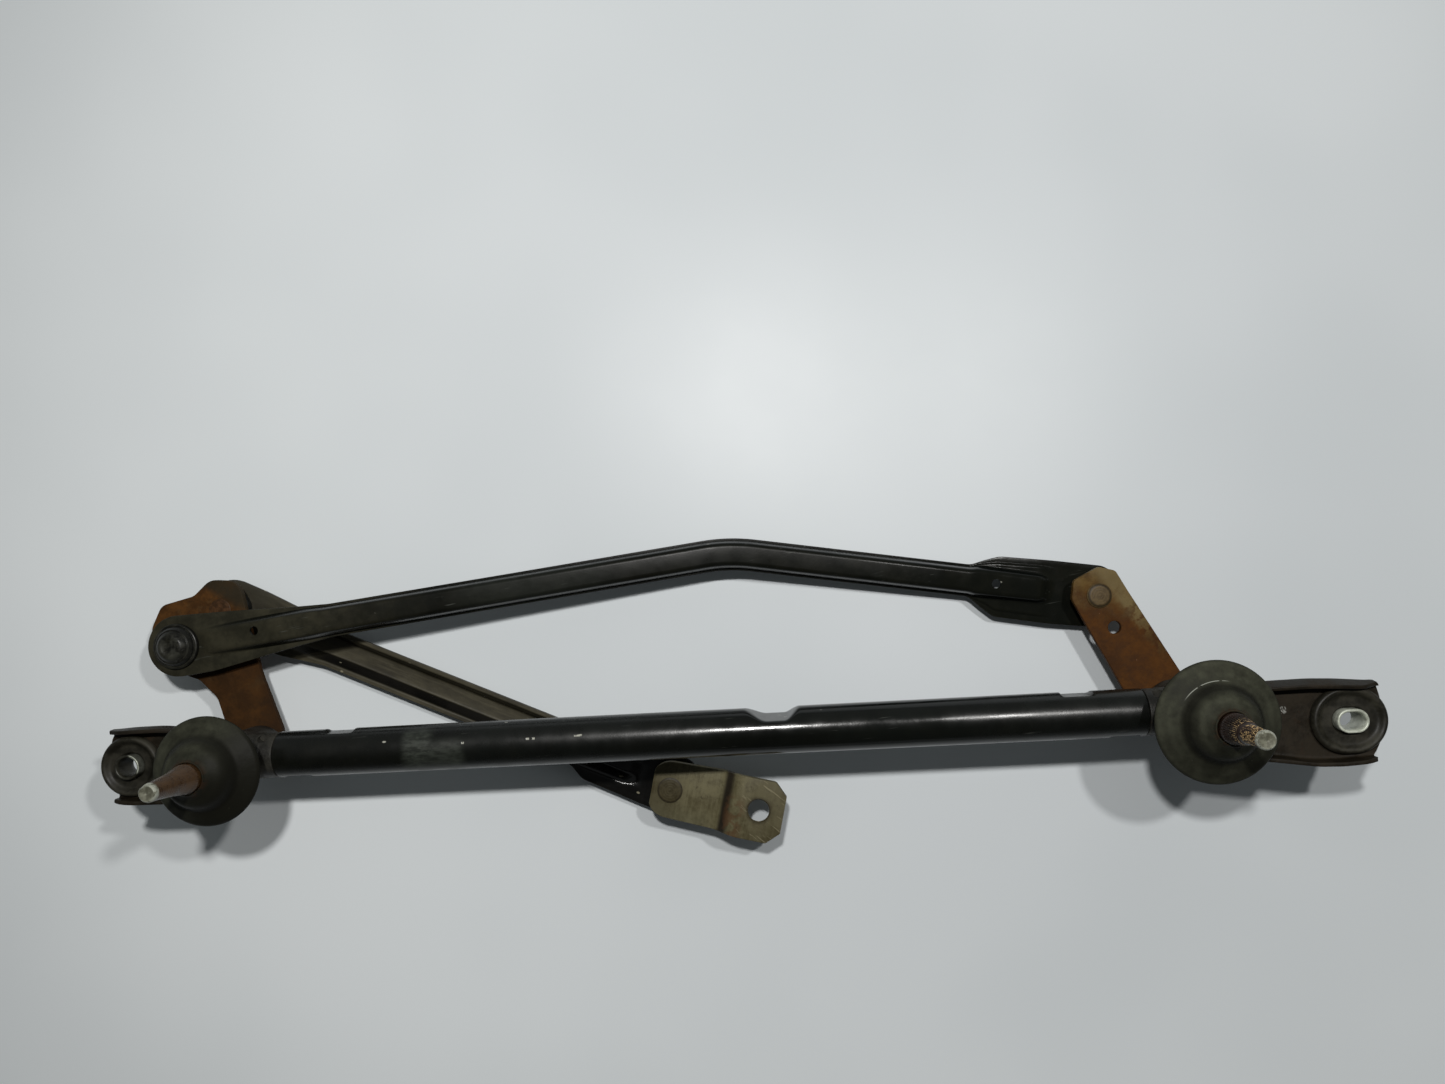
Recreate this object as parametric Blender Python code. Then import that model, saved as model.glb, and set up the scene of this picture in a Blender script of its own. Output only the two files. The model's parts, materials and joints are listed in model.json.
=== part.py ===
"""Windshield wiper assembly: a tube frame, two pivots, two levers, two ball-jointed links and a motor crank.

The table of dimensions is in millimetres, in a frame whose X axis joins the two pivots, whose Z axis runs
up their shafts, and whose zero is where the left pivot's axis meets the surface that the assembly lies on.
Meshes are made in metres. The finished assembly is moved so that its box is centred on the world's Z axis.
"""

import math

import bmesh
import bpy
from mathutils import Vector
from mathutils.geometry import tessellate_polygon

MM = 0.001

# ---------------------------------------------------------------- driving dimensions, millimetres

PIVOT_SPACING = 458.4
LEFT_PIVOT = (0.0, 0.0)
RIGHT_PIVOT = (PIVOT_SPACING, 0.0)
GAP = 0.3

# Heights above the surface that the assembly lies on.
LEVER_BOTTOM = 18.0
PLATE = 3.5
LEVER_TOP = LEVER_BOTTOM + PLATE
BALL_DROP = 9.5
LOW_BALL_Z = LEVER_BOTTOM - BALL_DROP
HIGH_BALL_Z = LEVER_TOP + BALL_DROP
TUBE_Z = 50.75
RIM_Z = 75.75
TIP_Z = 119.35

# Tube.
TUBE_R = 11.0
TUBE_WALL = 1.5
TUBE_Y = 2.0
TUBE_INSET = 24.0
CRIMP_DEPTH = 1.3
CRIMP_HALF = 7.0
FRONT_CRIMP = 9.0
REAR_CRIMP = 30.0
PINCH_DEPTH = 4.4
PINCH_X = 264.0
PINCH_HALF = 13.0
PINCH_ANGLE = math.radians(14)

# Pivots.
SHAFT_R = 6.8
GROOVE_Z = 72.7
GROOVE_R = 5.9
GROOVE = 1.6
CLIP = 1.1
BUSH_BORE_R = 6.9
BUSH_R = 8.5
BUSH_LENGTH = 12.0
BUSH_FLANGE_R = 10.3
BUSH_FLANGE = 0.8
HOUSING_BORE_R = BUSH_R + GAP
HOUSING_BOTTOM = 24.0
HOUSING_TOP = 70.0
BARREL_R = 10.8
SHOULDER_R = 13.0
SPIGOT_R = TUBE_R - TUBE_WALL - GAP
SPIGOT_REACH = 46.0
NECK_OUTER_R = TUBE_R
LEFT_CAP_R = 25.6
RIGHT_CAP_R = 27.6
CAP_SKIN = 2.0
THREAD_R = 4.0

# Ball joints.
BALL_R = 5.5
NECK_R = 3.2
RIVET_R = 6.0
SHANK_R = 3.0
SOCKET_R = 10.0
SOCKET_FLANGE_R = 11.5
SOCKET_CLOSED_END = LOW_BALL_Z
OPEN_PIVOT_PLAY = 2.0

# Ball places, from the axis that each is measured on.
LEFT_LINK_BALL = (-37.4, 56.1)
LEFT_DRIVE_BALL = (-20.0, 73.0)
RIGHT_LINK_BALL = (-30.8, 55.6)
CRANK_BALL = (208.7, -30.5)
CRANK_REACH = 45.5
CRANK_ANGLE = math.radians(-14.0)

# Sheets, and the links' round ends.
LINK_SHEET = 1.5
END_R = 15.5
BRACKET_SHEET = 2.0

# Ears.
WEB_TOP = 55.75
RING_WEB_TOP = 65.0
LEFT_EYE = (-47.3, 1.0)
RIGHT_EYE = (65.6, -5.0)
GROMMET_NECK_R = 11.0
SLEEVE_HEIGHT = 13.0

# Facets of the round pieces.
FINE = 28
ROUND = 20
SMALL = 16


# ---------------------------------------------------------------- outlines

def circle(centre_x, centre_y, radius, count):
    """Points round a circle, anticlockwise."""
    turns = [2 * math.pi * k / count for k in range(count)]
    return [(centre_x + radius * math.cos(a), centre_y + radius * math.sin(a)) for a in turns]


def oblong(centre_x, centre_y, length, width, count):
    """A slot's outline with round ends, long side along X."""
    reach = (length - width) / 2
    points = []
    for side in (1, -1):
        for k in range(count + 1):
            angle = -math.pi / 2 + math.pi * k / count + (0 if side > 0 else math.pi)
            x = centre_x + side * reach + width / 2 * math.cos(angle)
            points.append((x, centre_y + width / 2 * math.sin(angle)))
    return points


def rounded(corners, steps=4):
    """Follow (x, y, radius) corners, with a fillet arc in place of each."""
    points = []
    for index, (x, y, radius) in enumerate(corners):
        corner = Vector((x, y))
        before = Vector(corners[index - 1][:2]) - corner
        after = Vector(corners[(index + 1) % len(corners)][:2]) - corner
        before.normalize()
        after.normalize()
        half = before.angle(after) / 2
        middle = corner + (before + after).normalized() * radius / math.sin(half)
        first = corner + before * radius / math.tan(half) - middle
        last = corner + after * radius / math.tan(half) - middle
        sweep = first.angle_signed(last)
        for k in range(steps + 1):
            angle = math.atan2(first.y, first.x) - sweep * k / steps
            points.append((middle.x + radius * math.cos(angle), middle.y + radius * math.sin(angle)))
    return points


def strip(centre_line, thickness):
    """Close an open line of (across, height) points into a sheet of the given thickness."""
    upper = []
    lower = []
    for index, point in enumerate(centre_line):
        here = Vector(point)
        before = Vector(centre_line[max(index - 1, 0)])
        after = Vector(centre_line[min(index + 1, len(centre_line) - 1)])
        along = (after - before).normalized()
        normal = Vector((-along.y, along.x)) * thickness / 2
        upper.append(here + normal)
        lower.append(here - normal)
    return upper + lower[::-1]


def hat(left_edge, right_edge, base, top, rise):
    """A stamped rib's line: flat flanges, sloping walls at half-width base to top, and a flat crown."""
    half = [(0.0, base), (0.5, (base + top) / 2), (1.0, top)]
    left = [(-across, rise * up) for up, across in half]
    right = [(across, rise * up) for up, across in reversed(half)]
    return [(-left_edge, 0.0)] + left + right + [(right_edge, 0.0)]


def between(table, place):
    """Read a table of (place, value, ...) rows in straight steps between its rows."""
    for first, second in zip(table, table[1:]):
        if place <= second[0]:
            share = (place - first[0]) / (second[0] - first[0])
            return [a + (b - a) * share for a, b in zip(first[1:], second[1:])]
    return list(table[-1][1:])


# ---------------------------------------------------------------- meshes

def join_loops(mesh, first, second):
    """Put faces between two rings of vertices, either of which may be one point."""
    count = max(len(first), len(second))
    for k in range(count):
        a = first[k % len(first)]
        b = first[(k + 1) % len(first)]
        c = second[(k + 1) % len(second)]
        d = second[k % len(second)]
        corners = [v for n, v in enumerate((a, b, c, d)) if v not in (a, b, c, d)[:n]]
        if len(corners) > 2:
            mesh.faces.new(corners)


def skin(loops, closed):
    """Skin a row of loops. A closed row comes back to its start, and an open one has flat ends."""
    mesh = bmesh.new()
    rings = [[mesh.verts.new(Vector(point) * MM) for point in loop] for loop in loops]
    for first, second in zip(rings, rings[1:]):
        join_loops(mesh, first, second)
    if closed:
        join_loops(mesh, rings[-1], rings[0])
    else:
        for ring in (rings[0], rings[-1]):
            if len(ring) > 1:
                mesh.faces.new(ring)
    bmesh.ops.recalc_face_normals(mesh, faces=mesh.faces)
    return mesh


def turned(profile, count):
    """Turn (radius, height) points round +Z. Points at radius 0 close the piece on its axis."""
    loops = []
    for radius, height in profile:
        if radius == 0:
            loops.append([(0.0, 0.0, height)])
        else:
            loops.append([(x, y, height) for x, y in circle(0, 0, radius, count)])
    return skin(loops, closed=all(radius > 0 for radius, height in profile))


def plate(outlines, bottom, top):
    """A flat plate: the first outline is its edge and the others are its holes."""
    mesh = bmesh.new()
    flat = [point for outline in outlines for point in outline]
    low = [mesh.verts.new(Vector((x, y, bottom)) * MM) for x, y in flat]
    high = [mesh.verts.new(Vector((x, y, top)) * MM) for x, y in flat]
    fill = tessellate_polygon([[Vector((x, y, 0)) for x, y in outline] for outline in outlines])
    for corners in fill:
        mesh.faces.new([low[k] for k in corners])
        mesh.faces.new([high[k] for k in corners])
    start = 0
    for outline in outlines:
        count = len(outline)
        join_loops(mesh, low[start:start + count], high[start:start + count])
        start += count
    bmesh.ops.recalc_face_normals(mesh, faces=mesh.faces)
    return mesh


# ---------------------------------------------------------------- objects

def clear_scene():
    for thing in list(bpy.data.objects):
        bpy.data.objects.remove(thing)


def material(name, colour, roughness, metallic):
    finish = bpy.data.materials.new(name)
    finish.use_nodes = True
    shader = finish.node_tree.nodes["Principled BSDF"]
    shader.inputs["Base Color"].default_value = (*colour, 1.0)
    shader.inputs["Roughness"].default_value = roughness
    shader.inputs["Metallic"].default_value = metallic
    finish.diffuse_color = (*colour, 1.0)
    return finish


def axis_empty(name, place, parent=None):
    """An empty on a joint's axis, which the pieces of that moving body hang on."""
    empty = bpy.data.objects.new(name, None)
    empty.location = Vector((place[0], place[1], 0)) * MM
    if parent:
        empty.location -= parent_place(parent)
        empty.parent = parent
    bpy.context.scene.collection.objects.link(empty)
    return empty


def parent_place(parent):
    """Where an empty stands in the assembly's own frame."""
    place = parent.location.copy()
    if parent.parent:
        place += parent_place(parent.parent)
    return place


def piece(name, mesh, finish, parent, place=(0.0, 0.0)):
    """Make an object of a mesh whose own zero is at place, and shade its round faces smooth."""
    data = bpy.data.meshes.new(name)
    mesh.to_mesh(data)
    mesh.free()
    data.shade_smooth()
    data.set_sharp_from_angle(angle=math.radians(30))
    data.materials.append(finish)
    thing = bpy.data.objects.new(name, data)
    thing.location = Vector((place[0], place[1], 0)) * MM - parent_place(parent)
    thing.parent = parent
    bpy.context.scene.collection.objects.link(thing)
    return thing


def cut(thing, name, mesh, place, operation="DIFFERENCE"):
    """Cut a mesh out of an object, or join it on, with a modifier."""
    tool = piece(name, mesh, thing.data.materials[0], thing.parent, place)
    tool.hide_render = True
    tool.display_type = "WIRE"
    step = thing.modifiers.new(name, "BOOLEAN")
    step.operation = operation
    step.solver = "EXACT"
    step.object = tool


def drill(thing, name, place, radius, bottom, top, count=SMALL):
    cut(thing, name, plate([circle(0, 0, radius, count)], bottom, top), place)


# ---------------------------------------------------------------- frame pieces

def frame_tube(finish, root):
    """The round tube, crimped onto the housings' spigots near both ends and pinched once in its length."""
    first = TUBE_INSET
    last = PIVOT_SPACING - TUBE_INSET
    # place along the tube, and the side that is pushed in: 1 is the rear, -1 the front
    crimps = (
        (first + FRONT_CRIMP, -1), (first + REAR_CRIMP, 1),
        (last - REAR_CRIMP, 1), (last - FRONT_CRIMP, -1),
    )
    places = [first, last] + [PINCH_X + PINCH_HALF * step for step in (-1, -0.5, 0, 0.5, 1)]
    for crimp, way in crimps:
        places += [crimp + step for step in (-CRIMP_HALF, 3 - CRIMP_HALF, CRIMP_HALF - 3, CRIMP_HALF)]
    places.sort()

    def dent(x, angle):
        """How far the wall is pushed in towards the axis."""
        push = 0.0
        for crimp, way in crimps:
            if abs(x - crimp) < CRIMP_HALF - 0.5:
                push += CRIMP_DEPTH * max(0.0, way * math.cos(angle) - 0.6) / 0.4
        from_pinch = min(abs(x - PINCH_X) / PINCH_HALF, 1.0)
        across = math.cos(from_pinch * math.pi / 2)
        return push + PINCH_DEPTH * across * max(0.0, math.cos(angle - PINCH_ANGLE)) ** 3

    loops = []
    for radius, order in ((TUBE_R, places), (TUBE_R - TUBE_WALL, places[::-1])):
        for x in order:
            angles = [2 * math.pi * k / ROUND for k in range(ROUND)]
            reach = [radius - dent(x, a) for a in angles]
            loops.append([(x, r * math.cos(a), TUBE_Z + r * math.sin(a)) for r, a in zip(reach, angles)])
    piece("frame_tube", skin(loops, closed=True), finish, root, (0.0, TUBE_Y))


def pivot_housing(side, pivot, toward, finish, root):
    """Cast housing: an upright barrel with a bracket seat, a neck, and a grooved spigot inside the tube."""
    name = side + "_pivot_housing"
    bead_r = BARREL_R + 0.9
    seat = RING_WEB_TOP - BRACKET_SHEET - GAP
    barrel = [
        (0, HOUSING_BOTTOM), (SHOULDER_R - 1.5, HOUSING_BOTTOM), (SHOULDER_R, HOUSING_BOTTOM + 1.5),
        (SHOULDER_R, seat), (BARREL_R, seat), (BARREL_R, RING_WEB_TOP + GAP), (bead_r, RING_WEB_TOP + GAP),
        (bead_r, RING_WEB_TOP + 1.5), (BARREL_R, RING_WEB_TOP + 2.0), (BARREL_R, HOUSING_TOP),
        (0, HOUSING_TOP),
    ]
    housing = piece(name, turned(barrel, FINE), finish, root, pivot)
    groove_r = SPIGOT_R - CRIMP_DEPTH - GAP
    neck_end = TUBE_INSET - GAP
    tip = TUBE_INSET + SPIGOT_REACH
    spigot = [
        (2.0, NECK_OUTER_R), (neck_end, NECK_OUTER_R), (neck_end, SPIGOT_R), (neck_end + 2, SPIGOT_R),
        (neck_end + 2, groove_r), (tip - 6, groove_r), (tip - 6, SPIGOT_R), (tip, SPIGOT_R),
    ]
    loops = []
    for x, radius in spigot:
        loops.append([(toward * x, y, TUBE_Z + z) for y, z in circle(0, 0, radius, ROUND)])
    shift = (pivot[0], TUBE_Y)
    cut(housing, name + "_spigot", skin(loops, closed=False), shift, "UNION")
    drill(housing, name + "_bore", pivot, HOUSING_BORE_R, HOUSING_BOTTOM - 2, HOUSING_TOP + 2, FINE)


def bushes(side, pivot, finish, root):
    """Two flanged bushes, pressed in from below and from above."""
    for end, face, out in (("lower", HOUSING_BOTTOM - GAP, -1), ("upper", HOUSING_TOP + GAP, 1)):
        tip = face - out * BUSH_LENGTH
        outer = face + out * BUSH_FLANGE
        profile = [
            (BUSH_BORE_R, tip), (BUSH_R, tip), (BUSH_R, face), (BUSH_FLANGE_R, face),
            (BUSH_FLANGE_R, outer), (BUSH_BORE_R, outer),
        ]
        piece(side + "_" + end + "_bush", turned(profile, ROUND), finish, root, pivot)


def mount_bracket(side, pivot, outward, stations, lean, end_line, eye, finish, root):
    """Stamped ear: a channel that steps up to a ring round the barrel. lean tips its rear flange inward."""
    name = side + "_mount_bracket"
    middle = BRACKET_SHEET / 2
    loops = []
    for distance, low, high, web_top, flange in stations:
        rear_tip = high - lean * (flange - 1.6) / 7
        line = [(low, flange), (low, 1.6), (low + 1.6, 0.0), (high - 1.6, 0.0), (high, 1.6), (rear_tip, flange)]
        section = strip([(y, z + web_top - middle) for y, z in line], BRACKET_SHEET)
        loops.append([(outward * distance, y, z) for y, z in section])
    bracket = piece(name, skin(loops, closed=False), finish, root, pivot)
    far = outward * 130.0
    trim = [(far, 40.0)] + [(outward * x, y) for x, y in end_line] + [(far, -40.0)]
    cut(bracket, name + "_end", plate([trim], WEB_TOP - 8, WEB_TOP + 30), pivot)
    drill(bracket, name + "_ring", pivot, BARREL_R + GAP, WEB_TOP - 8, WEB_TOP + 30, FINE)
    eye_place = (pivot[0] + eye[0], pivot[1] + eye[1])
    drill(bracket, name + "_eye", eye_place, GROMMET_NECK_R + GAP, WEB_TOP - 8, WEB_TOP + 8, ROUND)


def grommet(side, pivot, eye, lips, hole, rubber, zinc, root):
    """Rubber grommet in the ear's eye, and the steel sleeve that its bolt goes through.

    lips and hole are the length and width of the grommet's lips and of the sleeve's hole.
    """
    place = (pivot[0] + eye[0], pivot[1] + eye[1])
    low = WEB_TOP - BRACKET_SHEET - GAP
    high = WEB_TOP + GAP
    lip = 3.4
    neck = 2 * GROMMET_NECK_R
    outer = (hole[0] + 3.0, hole[1] + 3.0)
    slot = (outer[0] + 2 * GAP, outer[1] + 2 * GAP)
    # length, width, height
    rows = [
        (*slot, low - lip), (lips[0] - 2.4, lips[1] - 2.4, low - lip), (*lips, low - lip + 1.2),
        (lips[0] - 1.2, lips[1] - 1.2, low), (neck + 0.2, neck, low), (neck + 0.2, neck, high),
        (lips[0] - 1.2, lips[1] - 1.2, high), (*lips, high + lip - 1.4), (lips[0] - 3.2, lips[1] - 3.2, high + lip),
        (*slot, high + lip - 0.8),
    ]
    loops = [[(x, y, z) for x, y in oblong(0, 0, length, width, 12)] for length, width, z in rows]
    piece(side + "_grommet", skin(loops, closed=True), rubber, root, place)
    middle = WEB_TOP - BRACKET_SHEET / 2
    outlines = [oblong(0, 0, *outer, 8), oblong(0, 0, *hole, 8)]
    sleeve = plate(outlines, middle - SLEEVE_HEIGHT / 2, middle + SLEEVE_HEIGHT / 2)
    piece(side + "_grommet_sleeve", sleeve, zinc, root, place)


def pivot_cap(side, pivot, cap_r, finish, root):
    """Rubber rain cap: a rim, a shallow skirt, and a boss whose collar closes round the shaft."""
    collar_r = SHAFT_R + GAP
    outer = [
        (cap_r, RIM_Z - 5.2), (cap_r, RIM_Z - 0.8), (cap_r - 1.2, RIM_Z + 0.2), (18.6, RIM_Z + 4.4),
        (17.0, RIM_Z + 6.4), (14.6, RIM_Z + 11.6), (8.8, RIM_Z + 15.0), (collar_r, RIM_Z + 15.0),
    ]
    inner = [
        (collar_r, RIM_Z + 12.0), (12.8, RIM_Z + 9.8), (15.0, RIM_Z + 5.2), (16.6, RIM_Z + 2.8),
        (cap_r - CAP_SKIN, RIM_Z - 1.4), (cap_r - CAP_SKIN, RIM_Z - 5.2),
    ]
    piece(side + "_pivot_cap", turned(outer + inner, FINE), finish, root, pivot)


# ---------------------------------------------------------------- lever pieces

def shaft(side, pivot, finish, parent):
    """Wiper shaft: staked under the lever, grooved for its circlip, knurled taper and thread on top."""
    spigot_r = 4.5
    head_r = 6.6
    low = LEVER_BOTTOM - GAP
    profile = [
        (0, low - 2.2), (head_r - 1.2, low - 2.2), (head_r, low - 0.9), (head_r, low), (spigot_r, low),
        (spigot_r, LEVER_TOP + GAP), (SHAFT_R, LEVER_TOP + GAP), (SHAFT_R, GROOVE_Z), (GROOVE_R, GROOVE_Z),
        (GROOVE_R, GROOVE_Z + GROOVE), (SHAFT_R, GROOVE_Z + GROOVE), (SHAFT_R, TIP_Z - 26.5),
        (5.0, TIP_Z - 16.5), (THREAD_R, TIP_Z - 15.4), (THREAD_R, TIP_Z - 0.9), (THREAD_R - 0.8, TIP_Z),
        (0, TIP_Z),
    ]
    piece(side + "_shaft", turned(profile, ROUND), finish, parent, pivot)
    return spigot_r + GAP


def lever(side, pivot, corners, holes, finish, parent):
    """Flat stamped lever, with its shaft hole, its stud holes and any spare hole."""
    outlines = [rounded(corners)] + [circle(*hole, SMALL) for hole in holes]
    piece(side + "_lever", plate(outlines, LEVER_BOTTOM, LEVER_TOP), finish, parent, pivot)


def ball_stud(name, place, up, finish, parent):
    """Riveted ball stud. up is 1 when its ball stands above the plate, and -1 when it hangs below."""
    near, far = (LEVER_TOP, LEVER_BOTTOM) if up > 0 else (LEVER_BOTTOM, LEVER_TOP)
    ball_z = HIGH_BALL_Z if up > 0 else LOW_BALL_Z
    start = math.acos(NECK_R / BALL_R)
    profile = [
        (0, far - up * (GAP + 1.6)), (3.6, far - up * (GAP + 1.4)), (RIVET_R - 0.4, far - up * (GAP + 0.6)),
        (RIVET_R - 0.2, far - up * GAP), (SHANK_R, far - up * GAP), (SHANK_R, near + up * GAP),
        (RIVET_R, near + up * GAP), (RIVET_R, near + up * (GAP + 1.2)), (NECK_R, near + up * (GAP + 1.2)),
    ]
    rings = 5
    for k in range(rings):
        angle = -start + (start + math.pi / 2) * k / rings
        profile.append((BALL_R * math.cos(angle), ball_z + up * BALL_R * math.sin(angle)))
    profile.append((0, ball_z + up * BALL_R))
    piece(name, turned(profile, SMALL), finish, parent, place)


def washers(side, pivot, steel, parent):
    """Thrust washer under the housing, washer over it, and the circlip in the shaft's groove."""
    flange_low = HOUSING_BOTTOM - GAP - BUSH_FLANGE
    flange_high = HOUSING_TOP + GAP + BUSH_FLANGE
    inner_r = SHAFT_R + GAP
    rows = (
        ("_thrust_washer", LEVER_TOP + GAP, flange_low - GAP),
        ("_top_washer", flange_high + GAP, GROOVE_Z - GAP),
    )
    for ending, low, high in rows:
        profile = [(inner_r, low), (BUSH_FLANGE_R, low), (BUSH_FLANGE_R, high), (inner_r, high)]
        piece(side + ending, turned(profile, ROUND), steel, parent, pivot)
    open_half = math.radians(28)
    inner_r = GROOVE_R + GAP
    outer_r = 9.4
    count = 14
    angles = [open_half + (2 * math.pi - 2 * open_half) * k / count for k in range(count + 1)]
    outline = [(outer_r * math.cos(a), outer_r * math.sin(a)) for a in angles]
    outline += [(inner_r * math.cos(a), inner_r * math.sin(a)) for a in reversed(angles)]
    clip_z = GROOVE_Z + 0.25
    piece(side + "_circlip", plate([outline], clip_z, clip_z + CLIP), steel, parent, pivot)


# ---------------------------------------------------------------- link pieces

def socket(name, place, ball_z, up, play, finish, parent):
    """Moulded cup round a ball. up is 1 when its closed end is on top; play is extra room for the ball."""
    sheet = LINK_SHEET / 2 + GAP
    hole = BALL_R + GAP + play
    mouth = NECK_R + 1.2 + play
    outer = [
        (mouth, -4.4), (SOCKET_R - 0.8, -4.4), (SOCKET_R + 0.6, -3.2), (SOCKET_R + 0.6, -sheet),
        (SOCKET_R, -sheet), (SOCKET_R, sheet), (SOCKET_FLANGE_R, sheet), (SOCKET_FLANGE_R, sheet + 2.2),
        (SOCKET_R, sheet + 5.2), (6.6, SOCKET_CLOSED_END), (0, SOCKET_CLOSED_END),
    ]
    inner = [(0, BALL_R + 0.5), (3.4 + play, BALL_R + 0.2), (hole, 2.4), (hole, -2.0)]
    profile = [(radius, ball_z + up * height) for radius, height in inner + outer]
    piece(name, turned(profile, ROUND), finish, parent, place)


def seal(name, place, ball_z, up, play, finish, parent):
    """Rubber dust ring between a lever and a socket's mouth."""
    inner_r = NECK_R + 0.9 + play
    foot = -7.4
    mouth = -4.4 - GAP
    profile = [(inner_r, foot), (8.2, foot), (9.6, -6.2), (9.0, mouth), (inner_r, mouth)]
    if up < 0:
        profile = profile[::-1]
    piece(name, turned([(r, ball_z + up * z) for r, z in profile], SMALL), finish, parent, place)


def follow(points, bend_radius, places):
    """Points and left-hand normals at the given distances along a line with one rounded bend."""
    start, corner, end = (Vector(point) for point in points)
    first = (corner - start).normalized()
    second = (end - corner).normalized()
    turn = first.angle_signed(second)
    trim = bend_radius * math.tan(abs(turn) / 2)
    straight = (corner - start).length - trim
    arc = bend_radius * abs(turn)
    stations = []
    for place in places:
        into_arc = min(max(place - straight, 0.0), arc)
        angle = math.atan2(first.y, first.x) - turn * into_arc / arc
        along = Vector((math.cos(angle), math.sin(angle)))
        chord = 2 * bend_radius * math.sin(abs(turn) * into_arc / arc / 2)
        halfway = math.atan2(first.y, first.x) - turn * into_arc / arc / 2
        spot = start + first * min(place, straight)
        spot = spot + Vector((math.cos(halfway), math.sin(halfway))) * chord
        spot = spot + along * max(place - straight - arc, 0.0)
        stations.append((spot, Vector((-along.y, along.x))))
    return stations


def round_end(radius, steps=4):
    """Distances from a ball and half-widths for a link's round end."""
    angles = [math.radians(8 + 72 * k / steps) for k in range(steps + 1)]
    return [(-radius * math.cos(a), radius * math.sin(a)) for a in angles]


def long_link(finish, parent, start, corner, end):
    """Stamped rib open downward, bent once in plan, from the left lever's top to under the right lever."""
    origin = Vector(start)
    line = [(0.0, 0.0), Vector(corner) - origin, Vector(end) - origin]
    length = (Vector(corner) - origin).length + (Vector(end) - Vector(corner)).length
    # distance, edge on the lower side, edge on the upper side, rib base, rib top, rib rise
    table = [(x, w, w, 6.0, 4.0, 0.0) for x, w in round_end(END_R)]
    table += [
        (0, 15.6, 15.6, 6.0, 4.0, 0.0), (13, 15.5, 14.6, 7.0, 5.0, 0.0), (18, 15.4, 14.2, 7.0, 5.0, 2.0),
        (38, 13.0, 12.4, 7.4, 5.2, 4.0),
        (58, 10.6, 10.2, 7.4, 5.4, 6.6), (80, 8.4, 8.4, 7.5, 5.5, 8.0), (170, 8.2, 8.2, 7.5, 5.5, 8.0),
        (length - 62, 8.2, 8.2, 7.5, 5.5, 8.0), (length - 55, 13.0, 11.4, 7.5, 5.5, 7.2),
        (length - 48, 17.0, 14.0, 7.4, 5.4, 6.4), (length - 27, 17.3, 14.8, 7.0, 5.2, 5.0),
        (length - 21, 17.4, 15.0, 6.0, 4.6, 0.0),
        (length, 16.4, 15.2, 6.0, 4.0, 0.0),
    ]
    table += [(length - x, w, w, 6.0, 4.0, 0.0) for x, w in reversed(round_end(END_R))]
    bend = (Vector(corner) - origin).length
    drop = ((-20, HIGH_BALL_Z), (60, HIGH_BALL_Z), (length - 60, LOW_BALL_Z), (length + 20, LOW_BALL_Z))
    places = sorted([row[0] for row in table] + [bend - 14, bend - 7, bend, bend + 7, bend + 14])
    loops = []
    for place, (spot, normal) in zip(places, follow(line, 90.0, places)):
        low, high, base, top, rise = between(table, place)
        base = min(base, low - 0.4, high - 0.4)
        top = min(top, base - 0.4)
        height = between(drop, place)[0]
        section = strip(hat(low, high, base, top, rise), LINK_SHEET)
        loops.append([(*(spot + normal * across), height + up) for across, up in section])
    link = piece("long_link", skin(loops, closed=False), finish, parent, start)
    hole = "long_link_left_socket_hole"
    drill(link, hole, start, SOCKET_R + GAP, HIGH_BALL_Z - 8, HIGH_BALL_Z + 8, ROUND)
    drill(link, "long_link_right_socket_hole", end, SOCKET_R + GAP, LOW_BALL_Z - 8, LOW_BALL_Z + 8, ROUND)
    drill(link, "long_link_left_hole", (5.2, 62.0), 2.3, HIGH_BALL_Z - 8, HIGH_BALL_Z + 12, 10)
    drill(link, "long_link_right_hole", (379.0, 64.0), 2.3, LOW_BALL_Z - 8, LOW_BALL_Z + 20, 10)


def drive_link(finish, parent, start, end):
    """Straight stamped channel, open upward, from under the left lever to under the crank."""
    span = Vector(end) - Vector(start)
    length = span.length
    along = span.normalized()
    normal = Vector((-along.y, along.x))
    ends = round_end(END_R)
    # distance, edge half-width, rib base, rib top, rib depth
    table = [(x, w, 6.0, 4.0, 0.0) for x, w in ends]
    table += [
        (0, 15.6, 6.0, 4.0, 0.0), (14, 15.2, 7.0, 4.2, 0.0), (34, 13.6, 8.4, 4.6, -3.6),
        (56, 10.2, 9.0, 4.8, -6.8), (length - 56, 10.2, 9.0, 4.8, -6.8), (length - 44, 14.6, 8.6, 4.8, -5.2),
        (length - 16, 15.4, 7.0, 4.2, 0.0), (length, 15.6, 6.0, 4.0, 0.0),
    ]
    table += [(length - x, w, 6.0, 4.0, 0.0) for x, w in reversed(ends)]
    loops = []
    for place, edge, base, top, rise in table:
        base = min(base, edge - 0.4)
        top = min(top, base - 0.4)
        section = strip(hat(edge, edge, base, top, rise), LINK_SHEET)
        loops.append([(*(along * place + normal * across), LOW_BALL_Z + up) for across, up in section])
    link = piece("drive_link", skin(loops, closed=False), finish, parent, start)
    for ending, place in (("lever", start), ("crank", end)):
        hole = "drive_link_" + ending + "_hole"
        drill(link, hole, place, SOCKET_R + GAP, LOW_BALL_Z - 7, LOW_BALL_Z + 8, ROUND)


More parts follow.
